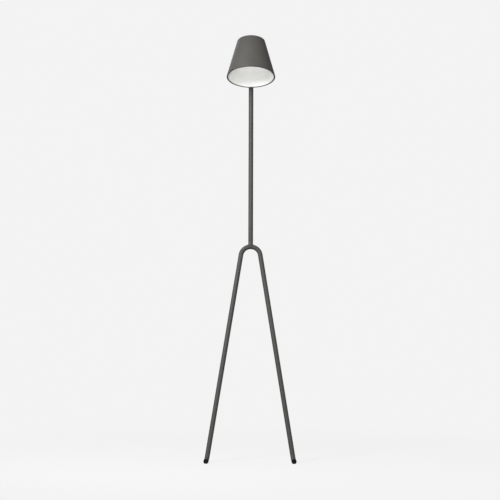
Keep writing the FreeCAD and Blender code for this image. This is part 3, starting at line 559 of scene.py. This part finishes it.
def leg_line(side):
    """Where one leg runs: its top, its way down, its toe's way and the tube's end."""
    top = Vector((side * crown_radius * math.cos(splay), 0, crown_radius * (math.sin(splay) - 1)))
    down = Vector((side * math.sin(splay), 0, -math.cos(splay)))
    toe = down * math.cos(heel_turn) + Vector((0, -1, 0)) * math.sin(heel_turn)
    heel = top + down * leg_straight
    end = heel + (down + toe) * heel_radius * math.tan(heel_turn / 2) + toe * toe_straight
    return top, down, toe, end


class Bender:
    """A ring of edges that grows into a tube as it is pushed straight or bent."""

    def __init__(self, name, radius, start, direction, sides=48):
        self.here = start.copy()
        self.way = direction.normalized()
        bpy.ops.object.select_all(action="DESELECT")
        bpy.ops.mesh.primitive_circle_add(
            vertices=sides, radius=radius, fill_type="NOTHING", location=start,
            rotation=self.way.to_track_quat("Z", "Y").to_euler())
        self.piece = bpy.context.object
        self.piece.name = self.piece.data.name = name
        bpy.ops.object.transform_apply(location=True, rotation=True, scale=True)
        edit(self.piece)
        bpy.ops.mesh.select_all(action="SELECT")

    def push(self, length, cuts=1):
        for _ in range(cuts):
            bpy.ops.mesh.extrude_region_move(
                TRANSFORM_OT_translate={"value": self.way * (length / cuts)})
        self.here += self.way * length

    def bend(self, radius, new_way, step=4.0):
        axis = self.way.cross(new_way).normalized()
        angle = self.way.angle(new_way)
        centre = self.here + axis.cross(self.way) * radius
        bpy.ops.mesh.spin(steps=math.ceil(math.degrees(angle) / step), angle=angle,
                          center=centre, axis=-axis)
        self.here = centre + Matrix.Rotation(angle, 3, axis) @ (self.here - centre)
        self.way = new_way.normalized()
        self.check()

    def check(self):
        """The picked ring has to be where the bend should have brought it."""
        mesh = bmesh.from_edit_mesh(self.piece.data)
        ring = [vert.co for vert in mesh.verts if vert.select]
        middle_now = sum(ring, Vector()) / len(ring)
        if (middle_now - self.here).length > 0.01 * mm:
            raise RuntimeError(f"the bend went to {middle_now}, not {self.here}")

    def finish(self, wall):
        bpy.ops.mesh.select_all(action="SELECT")
        bpy.ops.mesh.normals_make_consistent(inside=False)
        done()
        change(self.piece, "SOLIDIFY", thickness=wall, offset=-1, use_even_offset=True)
        return self.piece


left_down, left_toe, left_end = leg_line(-1)[1:]
right_top, right_down, right_toe = leg_line(1)[:3]
bender = Bender("leg_tube_bent", tube_radius, left_end, -left_toe)
bender.push(toe_straight)
bender.bend(heel_radius, -left_down)
bender.push(leg_straight, cuts=6)
bender.bend(crown_radius, right_down, step=3.0)
bender.push(leg_straight, cuts=6)
bender.bend(heel_radius, right_toe)
bender.push(toe_straight)
leg_tube = bender.finish(tube_wall)

gland_reach = 18 * mm
gland_corner = right_top + right_down * 745 * mm
gland_way = (right_down + Vector((0, 1, 0))).normalized()
combine(leg_tube, "DIFFERENCE",
        rod("lead_hole", 5.5 * mm, 13 * mm),
        rod("gland_hole", 4.25 * mm, 22 * mm, gland_corner, gland_way))
place(leg_tube, LAMP, stand_coat, "stand", "stand_paint", "leg_tube")

# %% [markdown]
# ## The pole and its joint
# The pole is plain tube with lightly broken edges. It slides over a turned spigot, whose foot is
# saddled onto the crown and welded; the fine line above the crown is where the two meet.

# %% Pole, spigot and weld
pole_foot = 24 * mm
pole_top = 778 * mm
lock_height = 40 * mm
bumper_height = 766 * mm
screw_hole = 2.1 * mm
back = Vector((0, 1, 0))
bender = Bender("pole_tube_drawn", tube_radius, Vector((0, 0, pole_foot)), Vector((0, 0, 1)), 64)
bender.push(pole_top - pole_foot, cuts=8)
pole = bender.finish(tube_wall)
ease(pole, 0.35 * mm)
for height in (lock_height, bumper_height):
    combine(pole, "DIFFERENCE",
            rod("screw_hole", screw_hole, 8 * mm, (0, 4 * mm, height), back, 32))
place(pole, LAMP, stand_coat, "stand", "stand_paint", "pole_tube")

foot_radius = 9.3 * mm
neck_radius = 7.95 * mm
lead_bore = 4 * mm
wide_bore = 5.8 * mm
spigot = lathe("crown_spigot_turned", [
    (wide_bore, 0.5 * mm), (foot_radius, 0.5 * mm), (foot_radius, pole_foot - 0.3 * mm),
    (foot_radius - 0.3 * mm, pole_foot), (neck_radius, pole_foot),
    (neck_radius, pole_foot + 29 * mm), (neck_radius - 1 * mm, pole_foot + 30 * mm),
    (lead_bore, pole_foot + 30 * mm), (lead_bore, 18 * mm), (wide_bore, 16 * mm),
    (wide_bore, 0.5 * mm)], ring=True)
bpy.ops.object.select_all(action="DESELECT")
bpy.ops.mesh.primitive_torus_add(major_radius=crown_radius, minor_radius=tube_radius,
                                 major_segments=120, minor_segments=48,
                                 location=(0, 0, -crown_radius), rotation=(math.pi / 2, 0, 0))
combine(spigot, "DIFFERENCE", bpy.context.object,
        rod("lock_thread", 2 * mm, 6 * mm, (0, 3 * mm, lock_height), back, 32))
place(spigot, LAMP, stand_coat, "stand", "stand_paint", "crown_spigot")


def saddle_height(x, y):
    """How high the crown's surface stands at a place beside the pole's axis."""
    across = math.sqrt(max(tube_radius**2 - y**2, 0))
    return math.sqrt((crown_radius + across) ** 2 - x**2) - crown_radius


bpy.ops.object.select_all(action="DESELECT")
bpy.ops.mesh.primitive_torus_add(major_radius=foot_radius + 0.3 * mm, minor_radius=1.7 * mm,
                                 major_segments=144, minor_segments=16)
weld = bpy.context.object
weld.name = weld.data.name = "crown_weld_bead"
for vert in weld.data.vertices:
    turn = math.atan2(vert.co.y, vert.co.x)
    ripple = 1 + 0.05 * math.sin(turn * 26)
    out = min(foot_radius, tube_radius * 0.985)
    rest = saddle_height(out * math.cos(turn), out * math.sin(turn))
    vert.co.z = vert.co.z * ripple + rest + 0.2 * mm
place(weld, LAMP, stand_coat, "stand", "stand_paint", "crown_weld", smooth=60)

# %% [markdown]
# ## Toe caps
# Each open toe is closed by a black rubber plug with a rounded head and a shallow dish in its
# face. The head stands a little proud of the tube, and its underside is worn flat on the floor.

# %% Toe caps
cap_radius = 10 * mm
cap_head = 7 * mm
cap_round = 1.6 * mm
dish_depth = 0.7 * mm
plug_inset = 2.1 * mm
plug_length = 15 * mm
for side, name in ((-1, "left_toe_cap"), (1, "right_toe_cap")):
    toe, end = leg_line(side)[2:]
    cap = lathe(f"{name}_moulded", [(cap_radius, 0), (cap_radius, cap_head)], 72)
    edit(cap)
    pick_edges(cap, lambda co: near(co.z, cap_head))
    bpy.ops.mesh.bevel(offset=cap_round, segments=5, affect="EDGES")
    pick_faces(cap, lambda c, n: n.z > 0.95 and near(c.z, cap_head) and radius_of(c) < mm)
    bpy.ops.mesh.inset(thickness=1.4 * mm)
    bpy.ops.mesh.inset(thickness=0.8 * mm)
    bpy.ops.transform.translate(value=(0, 0, -dish_depth))
    bpy.ops.mesh.inset(thickness=2.5 * mm)
    bpy.ops.transform.translate(value=(0, 0, 0.15 * mm))
    pick_faces(cap, lambda c, n: n.z < -0.95)
    bpy.ops.mesh.inset(thickness=plug_inset)
    bpy.ops.mesh.extrude_region_move(TRANSFORM_OT_translate={"value": (0, 0, -plug_length)})
    done()
    turn_mesh(cap, LAMP @ aimed(end, toe))
    edit(cap)
    bpy.ops.mesh.select_all(action="SELECT")
    bpy.ops.mesh.bisect(plane_co=(0, 0, 0), plane_no=(0, 0, 1), use_fill=True, clear_inner=True,
                        threshold=1e-6)
    done()
    place(cap, Matrix(), black_rubber, "stand", "black_rubber", name)

# %% [markdown]
# ## The shade
# The shade is spun from sheet: a straight cone with a closed flat top, a rounded shoulder and a
# narrow lip turned in at the rim. A second, white cone inside it is the reflector. Its edge meets
# the lip, so from below the rim reads as a dark ring round a white bowl.

# %% Shade shell
shell_wall = 1.2 * mm
lip_width = 6 * mm
shoulder = 6 * mm
sides_round = 160


def cone(name, low_radius, high_radius, height, start=0.0):
    """An open-bottomed cone shell about Z with a flat closed top."""
    bpy.ops.object.select_all(action="DESELECT")
    bpy.ops.mesh.primitive_cone_add(vertices=sides_round, radius1=low_radius, radius2=high_radius,
                                    depth=height, location=(0, 0, start + height / 2))
    piece = bpy.context.object
    piece.name = piece.data.name = name
    bpy.ops.object.transform_apply(location=True, rotation=True, scale=True)
    edit(piece)
    pick_faces(piece, lambda c, n: n.z < -0.9)
    bpy.ops.mesh.delete(type="FACE")
    pick_edges(piece, lambda co: near(co.z, start + height))
    setback = shoulder * math.tan((math.pi / 2 - cone_angle) / 2)
    bpy.ops.mesh.bevel(offset=setback, segments=8, affect="EDGES")
    return piece


shell = cone("shade_shell_spun", rim_radius, top_radius, shade_height)
pick_faces(shell, lambda c, n: n.z > 0.9 and radius_of(c) < mm)
for width in (1 * mm, 14 * mm, 14 * mm, 12 * mm):
    bpy.ops.mesh.inset(thickness=width)
bpy.ops.mesh.poke()
pick_edges(shell, lambda co: near(co.z, 0))
bpy.ops.mesh.extrude_region_move()
lip_share = (rim_radius - lip_width) / rim_radius
bpy.ops.transform.resize(value=(lip_share, lip_share, 1), center_override=(0, 0, 0))
bpy.ops.mesh.select_all(action="SELECT")
bpy.ops.mesh.normals_make_consistent(inside=False)
done()
change(shell, "SOLIDIFY", thickness=shell_wall, offset=-1, use_even_offset=True)
ease(shell, 0.4 * mm, angle=50)
nipple_way = SHADE.inverted() @ ARM
shell_hole = rod("shell_hole", 5.1 * mm, 60 * mm)
turn_mesh(shell_hole, nipple_way)
combine(shell, "DIFFERENCE", shell_hole)
place(shell, SHADE, shade_coat_painted_light, "shade", "shade_paint", "shade_shell", smooth=30)

# %% [markdown]
# The reflector is a second spun cone, clamped by the lampholder's ring through the hole in its
# flat top. Its foot turns out onto the lip. Here a cone loses its floor, its flat gets the hole
# by inset and delete, the foot is one extrusion scaled outwards, and thickness comes last.

# %% Reflector
liner_wall = 0.8 * mm
liner_top = 122 * mm
liner_foot = shell_wall
liner_radius = rim_radius - lip_width
liner_height = liner_top - liner_wall - liner_foot
liner_high = liner_radius - liner_height * math.tan(cone_angle)
liner = cone("shade_liner_spun", liner_radius, liner_high, liner_height, liner_foot)
pick_faces(liner, lambda c, n: n.z > 0.9 and radius_of(c) < mm)
flat_edge = liner_high - shoulder * math.tan((math.pi / 2 - cone_angle) / 2)
bpy.ops.mesh.inset(thickness=1 * mm)
bpy.ops.mesh.inset(thickness=flat_edge - 1 * mm - 14.5 * mm)
bpy.ops.mesh.delete(type="FACE")
pick_edges(liner, lambda co: near(co.z, liner_foot))
bpy.ops.mesh.extrude_region_move()
foot_share = (liner_radius + 2.5 * mm) / liner_radius
bpy.ops.transform.resize(value=(foot_share, foot_share, 1), center_override=(0, 0, 0))
bpy.ops.mesh.select_all(action="SELECT")
bpy.ops.mesh.normals_make_consistent(inside=False)
done()
change(liner, "SOLIDIFY", thickness=liner_wall, offset=1, use_even_offset=True)
place(liner, SHADE, liner_coat, "shade", "liner_paint", "shade_liner", smooth=30)

# %% [markdown]
# ## Gland, plug and wall bumper
# The lead leaves through a soft rubber bushing at the back of the right leg. The pole is closed
# by a turned steel plug, of which a bright band shows under the knuckle. Below it a rubber puck
# stands off to the rear, cut upright so that it lies flat on the wall, with a cap screw deep
# in its counterbore.

# %% Cable gland
gland = lathe("cable_gland_moulded", [
    (2.5 * mm, 0), (5.8 * mm, 0), (5.8 * mm, gland_reach - 1.6 * mm),
    (5.4 * mm, gland_reach - 0.6 * mm), (4.6 * mm, gland_reach - 0.1 * mm),
    (3.6 * mm, gland_reach), (2.9 * mm, gland_reach - 0.2 * mm),
    (2.5 * mm, gland_reach - 0.8 * mm), (2.5 * mm, 0)], ring=True)
turn_mesh(gland, aimed(gland_corner, gland_way))
seat_end = gland_corner + right_down * 36 * mm
combine(gland, "DIFFERENCE",
        rod("gland_seat", tube_radius, 72 * mm, seat_end, -right_down, 72))
neck = lathe("gland_neck", [(2.5 * mm, 0), (4.2 * mm, 0), (4.2 * mm, 7 * mm), (2.5 * mm, 7 * mm),
                            (2.5 * mm, 0)], ring=True)
turn_mesh(neck, aimed(gland_corner + gland_way * gland_reach / 2, gland_way))
combine(gland, "UNION", neck)
place(gland, LAMP, black_rubber, "stand", "black_rubber", "cable_gland")

# %% [markdown]
# The plug is a lathe profile with two drilled holes. The bumper is a round bar of rubber, cut
# with the pole itself, so its saddle fits, and with the wall, so its face is truly upright.

# %% Plug and bumper
plug_high = pole_top + 3 * mm
plug_low = pole_top - 28 * mm
plug_bore = 4.05 * mm
pin_circle = 6.6 * mm
plug = lathe("pole_top_plug_turned", [
    (plug_bore, plug_low), (neck_radius, plug_low), (neck_radius, pole_top),
    (9.2 * mm, pole_top), (tube_radius, pole_top + 0.3 * mm), (tube_radius, plug_high - 0.3 * mm),
    (9.2 * mm, plug_high), (plug_bore, plug_high), (plug_bore, plug_low)], ring=True)
pin_foot = Vector((0, -pin_circle, pole_top + 0.5 * mm))
combine(plug, "DIFFERENCE",
        rod("plug_thread", 2 * mm, 6 * mm, (0, 4 * mm, bumper_height), back, 32),
        rod("pin_hole", 1.25 * mm, 8 * mm, pin_foot, sides=32))
place(plug, LAMP, zinc, "stand", "zinc_steel", "pole_top_plug")

bumper_start = Vector((0, 0, bumper_height))
bumper_seat = bumper_start + back * 14 * mm
bumper = rod("wall_bumper_moulded", 9 * mm, 45 * mm, bumper_start, back, 96)
combine(bumper, "DIFFERENCE",
        rod("bumper_pole", tube_radius, 80 * mm, (0, 0, pole_top - 60 * mm), sides=72),
        rod("bumper_bore", screw_hole, 45 * mm, bumper_start, back),
        rod("counterbore", 3.8 * mm, 45 * mm, bumper_seat, back))
turn_mesh(bumper, LAMP)
combine(bumper, "DIFFERENCE",
        slab("wall", (-0.1, cad_high.y, 1.4), (0.1, cad_high.y + 0.1, 1.8)))
ease(bumper, 0.6 * mm, angle=35)
place(bumper, Matrix(), black_rubber, "stand", "black_rubber", "wall_bumper")

socket_radius = 1.73 * mm
screw = lathe("bumper_screw_turned", [
    (1.6 * mm, 4.7 * mm), (2 * mm, 5.3 * mm), (2 * mm, 14 * mm), (3.5 * mm, 14 * mm),
    (3.5 * mm, 17.6 * mm), (3.35 * mm, 17.87 * mm), (3.1 * mm, 18 * mm)], 48)
socket = rod("hex_socket", socket_radius, 4 * mm, (0, 0, 15.8 * mm), sides=6)
combine(screw, "DIFFERENCE", socket)
place(screw, LAMP @ aimed(bumper_start, back), black_screw, "stand", "black_steel",
      "bumper_screw")

# %% [markdown]
# ## The knuckle
# Two die-cast halves meet at a flat face on the tilt axis: the lower turns on the pole, the upper
# carries the shade. Each is a round ear with a short neck and a threaded boss. The limbs are
# joined as solids first; a small bevel on every edge then gives the drafted, coated look of a
# casting.
#
# Two faults are left here. The slot for the stop pin should be an upright plane spun into an arc,
# but the plane lies flat when it is spun, so it cuts a slit of no height and the pin runs through
# the casting. The plane's turn has to be applied before turn_mesh replaces it. And neither casting
# is a closed mesh: some of its edges join one, three or four faces. The cause wasn't found.

# %% Knuckle base
ear_radius = 11.5 * mm
boss_radius = 7 * mm
half_neck = 6.5 * mm
foot_level = 782 * mm - hinge_height
right_way = Vector((1, 0, 0))
base = rod("knuckle_base_cast", tube_radius, 4 * mm, (0, 0, foot_level))
combine(base, "UNION",
        rod("base_boss", boss_radius, 10.7 * mm, (0, 0, foot_level + 1 * mm)),
        rod("base_ear", ear_radius, 7.5 * mm, (-8 * mm, 0, 0), right_way, 72),
        slab("base_neck", (-half_neck, -half_neck, foot_level + 3 * mm),
             (-0.5 * mm, half_neck, 0)))
ease(base, 0.6 * mm)
swing = math.radians(92)
bpy.ops.object.select_all(action="DESELECT")
bpy.ops.mesh.primitive_plane_add(size=3.1 * mm, rotation=(0, math.pi / 2, 0))
slot_cutter = bpy.context.object
turn_mesh(slot_cutter, Matrix.Rotation(-(math.pi + swing) / 2, 4, "Z")
          @ Matrix.Translation((pin_circle, 0, foot_level + 1.05 * mm))
          @ Matrix.Rotation(math.pi / 2, 4, "Z"))
edit(slot_cutter)
bpy.ops.mesh.select_all(action="SELECT")
bpy.ops.mesh.spin(steps=24, angle=swing, center=(0, 0, 0), axis=(0, 0, -1))
done()
outward(slot_cutter)
pocket = rod("nut_pocket", 4.62 * mm, 4 * mm, sides=6)
turn_mesh(pocket, Matrix.Translation((-8 * mm, 0, 0)) @ ALONG_X)
combine(base, "DIFFERENCE", slot_cutter, pocket,
        rod("base_thread", 4 * mm, 10 * mm, (0, 0, foot_level)),
        rod("base_bore", 2.5 * mm, 12 * mm, (-8 * mm, 0, 0), right_way))
place(base, HINGE, stand_coat, "swivel", "knuckle_paint", "knuckle_base")

# %% [markdown]
# The upper half has no nut pocket, and its bore is a running fit on the bolt.
# The spacer between it and the shade is turned, and its end is cut by the cone it lies on.

# %% Knuckle head
head = rod("knuckle_head_cast", ear_radius, 7.5 * mm, (0.5 * mm, 0, 0), right_way, 72)
combine(head, "UNION",
        slab("head_neck", (0.5 * mm, -half_neck, 0), (half_neck, half_neck, 18 * mm)),
        rod("head_boss", boss_radius, 9.7 * mm, (0, 0, 12.3 * mm)))
ease(head, 0.6 * mm)
combine(head, "DIFFERENCE",
        rod("head_bore", 2.55 * mm, 12 * mm, (0, 0, 0), right_way),
        rod("head_thread", 5 * mm, 8.1 * mm, (0, 0, 14 * mm)))
place(head, ARM, stand_coat, "shade", "knuckle_paint", "knuckle_head")

spacer = lathe("shade_spacer_turned", [
    (5.05 * mm, 22 * mm), (6.8 * mm, 22 * mm), (7 * mm, 22.2 * mm), (8.35 * mm, 25.7 * mm),
    (8.5 * mm, 26.2 * mm), (8.5 * mm, 38 * mm), (5.05 * mm, 38 * mm), (5.05 * mm, 22 * mm)],
    ring=True)
seat = lathe("spacer_seat", [(rim_radius, 0), (top_radius, shade_height)], 160)
turn_mesh(seat, nipple_way.inverted())
combine(spacer, "DIFFERENCE", seat)
place(spacer, ARM, stand_coat, "shade", "knuckle_paint", "shade_spacer")

# %% [markdown]
# An M5 cap screw with a low domed head is the tilt axis. Its hexagon socket is cut by a
# six-sided rod, the same way a punch makes it.

# %% Pivot bolt
head_start = 17.8 * mm
bolt = lathe("pivot_bolt_turned", [
    (2.1 * mm, 0), (2.5 * mm, 0.5 * mm), (2.5 * mm, head_start), (4.75 * mm, head_start),
    (4.75 * mm, head_start + 1.2 * mm), (4.6 * mm, head_start + 1.7 * mm),
    (4.2 * mm, head_start + 2.2 * mm), (3.7 * mm, head_start + 2.55 * mm),
    (3.2 * mm, head_start + 2.7 * mm)], 48)
combine(bolt, "DIFFERENCE",
        rod("bolt_socket", socket_radius, 3 * mm, (0, 0, 18.6 * mm), sides=6))
place(bolt, HINGE @ Matrix.Translation((-7.7 * mm, 0, 0)) @ ALONG_X, black_screw, "swivel",
      "black_steel", "pivot_bolt")

# %% [markdown]
# ## Bulb and lampholder
# The bulb is a small opal globe, blown with a soft flare into its cap. The lampholder is moulded
# in white plastic; its ring has grip flutes and clamps the reflector up against the flange.

# %% Bulb glass
globe_radius = 22.5 * mm
globe_middle = 79.5 * mm
bpy.ops.object.select_all(action="DESELECT")
bpy.ops.mesh.primitive_uv_sphere_add(segments=64, ring_count=32, radius=globe_radius)
glass = bpy.context.object
glass.name = glass.data.name = "bulb_glass_blown"
edit(glass)
pick_faces(glass, lambda c, n: c.z > 17.5 * mm)
bpy.ops.mesh.delete(type="FACE")
pick_edges(glass, lambda co: co.z > 17.2 * mm)
ring_radius, ring_level = 14.28 * mm, 17.39 * mm
for next_radius, next_level in ((12.3 * mm, 19.4 * mm), (10.6 * mm, 21.5 * mm),
                                (9.2 * mm, 23.6 * mm), (8 * mm, 25.5 * mm)):
    bpy.ops.mesh.extrude_region_move(
        TRANSFORM_OT_translate={"value": (0, 0, next_level - ring_level)})
    share = next_radius / ring_radius
    bpy.ops.transform.resize(value=(share, share, 1), center_override=(0, 0, next_level))
    ring_radius, ring_level = next_radius, next_level
done()
outward(glass)
change(glass, "SOLIDIFY", thickness=1 * mm, offset=-1, use_even_offset=True)
place(glass, SHADE @ Matrix.Translation((0, 0, globe_middle)), opal, "shade", "opal_glass",
      "bulb_glass", smooth=60)

# %% [markdown]
# The holder is one closed profile round its bore. Of the ring's sloping wall every third strip
# is inset and pushed in, which leaves the ribs that fingers turn it by.

# %% Lampholder body and ring
holder_radius = 14 * mm
flange_radius = 18 * mm
body_low = 109 * mm
body_high = 132 * mm
holder = lathe("lampholder_body_moulded", [
    (8.2 * mm, body_low), (13.6 * mm, body_low), (holder_radius, body_low + 0.4 * mm),
    (holder_radius, liner_top), (flange_radius - 0.4 * mm, liner_top),
    (flange_radius, liner_top + 0.4 * mm), (flange_radius, liner_top + 2.1 * mm),
    (flange_radius - 0.4 * mm, liner_top + 2.5 * mm), (holder_radius, liner_top + 2.5 * mm),
    (holder_radius, body_high), (3 * mm, body_high), (3 * mm, body_high - 3 * mm),
    (8.2 * mm, body_high - 3 * mm), (8.2 * mm, body_low)], ring=True)
place(holder, SHADE, holder_plastic, "shade", "holder_plastic", "lampholder_body")

ring_top = liner_top - liner_wall
ring_low = ring_top - 7 * mm
ring_bore = 14.05 * mm
clamp = lathe("shade_ring_moulded", [
    (ring_bore, ring_low), (18.5 * mm, ring_low), (19 * mm, ring_low + 0.5 * mm),
    (20.3 * mm, ring_top - 2.4 * mm), (20.5 * mm, ring_top - 2 * mm),
    (20.5 * mm, ring_top - 0.3 * mm), (20.2 * mm, ring_top), (ring_bore, ring_top),
    (ring_bore, ring_low)], 144, ring=True)
edit(clamp)


def flute(middle_of_face, _):
    """Every third strip of the sloping outer wall."""
    turn = math.atan2(middle_of_face.y, middle_of_face.x) / math.tau * 144
    between = ring_low + 1 * mm < middle_of_face.z < ring_top - 3 * mm
    return between and radius_of(middle_of_face) > 18 * mm and math.floor(turn + 144) % 3 == 0


pick_faces(clamp, flute)
bpy.ops.mesh.inset(thickness=0.2 * mm, depth=-0.45 * mm, use_even_offset=True)
done()
place(clamp, SHADE, holder_plastic, "shade", "holder_plastic", "shade_ring")

# %% [markdown]
# A light in front of the shade and below it opens up the dark bowl. It is linked to the pieces
# inside the shade and reaches nothing else, so the white reflector comes up bright while the
# turned-in lip stays dark. No real lamp or snoot is so exact: this is a trick of the render.

# %% Light for the inside
inside = bpy.data.collections.new("inside_of_shade")
for part in (liner, glass, holder, clamp):
    inside.objects.link(part)
rim_place = SHADE @ Vector()
snoot = softbox("inside_light", (-0.15, -1.6, 0.4), rim_place, 1.2, 0.8, 26)
snoot.light_linking.receiver_collection = inside

# %% [markdown]
# ## Small parts kept from the CAD
# The parts hidden inside the tube, the knuckle and the top of the shade keep their CAD shape.
# They only need a finish: zinc on the steel, brass on the contacts, and a dull black sheath.

# %% Carried-over CAD nodes
CARRIED = {
    "stop_pin": zinc, "swivel_friction_disc": nylon, "pole_lock_screw": black_screw,
    "mains_lead": sheath, "swivel_nipple": zinc, "swivel_nut": zinc,
    "swivel_spring_washer": zinc, "pivot_nut": zinc, "pivot_spring_washer": zinc,
    "pivot_flat_washer": zinc, "pivot_friction_disc": nylon, "shade_nipple": zinc,
    "shade_nut": brass, "holder_bracket": zinc, "holder_nut": brass,
    "lampholder_cap": holder_plastic, "socket_sleeve": brass, "centre_contact": brass,
    "bulb_cap": nickel, "bulb_contact": brass, "head_lead": sheath,
}
for node, material in CARRIED.items():
    nodes[node].data.materials.clear()
    nodes[node].data.materials.append(material)
print(len(CARRIED), "CAD nodes carried over")
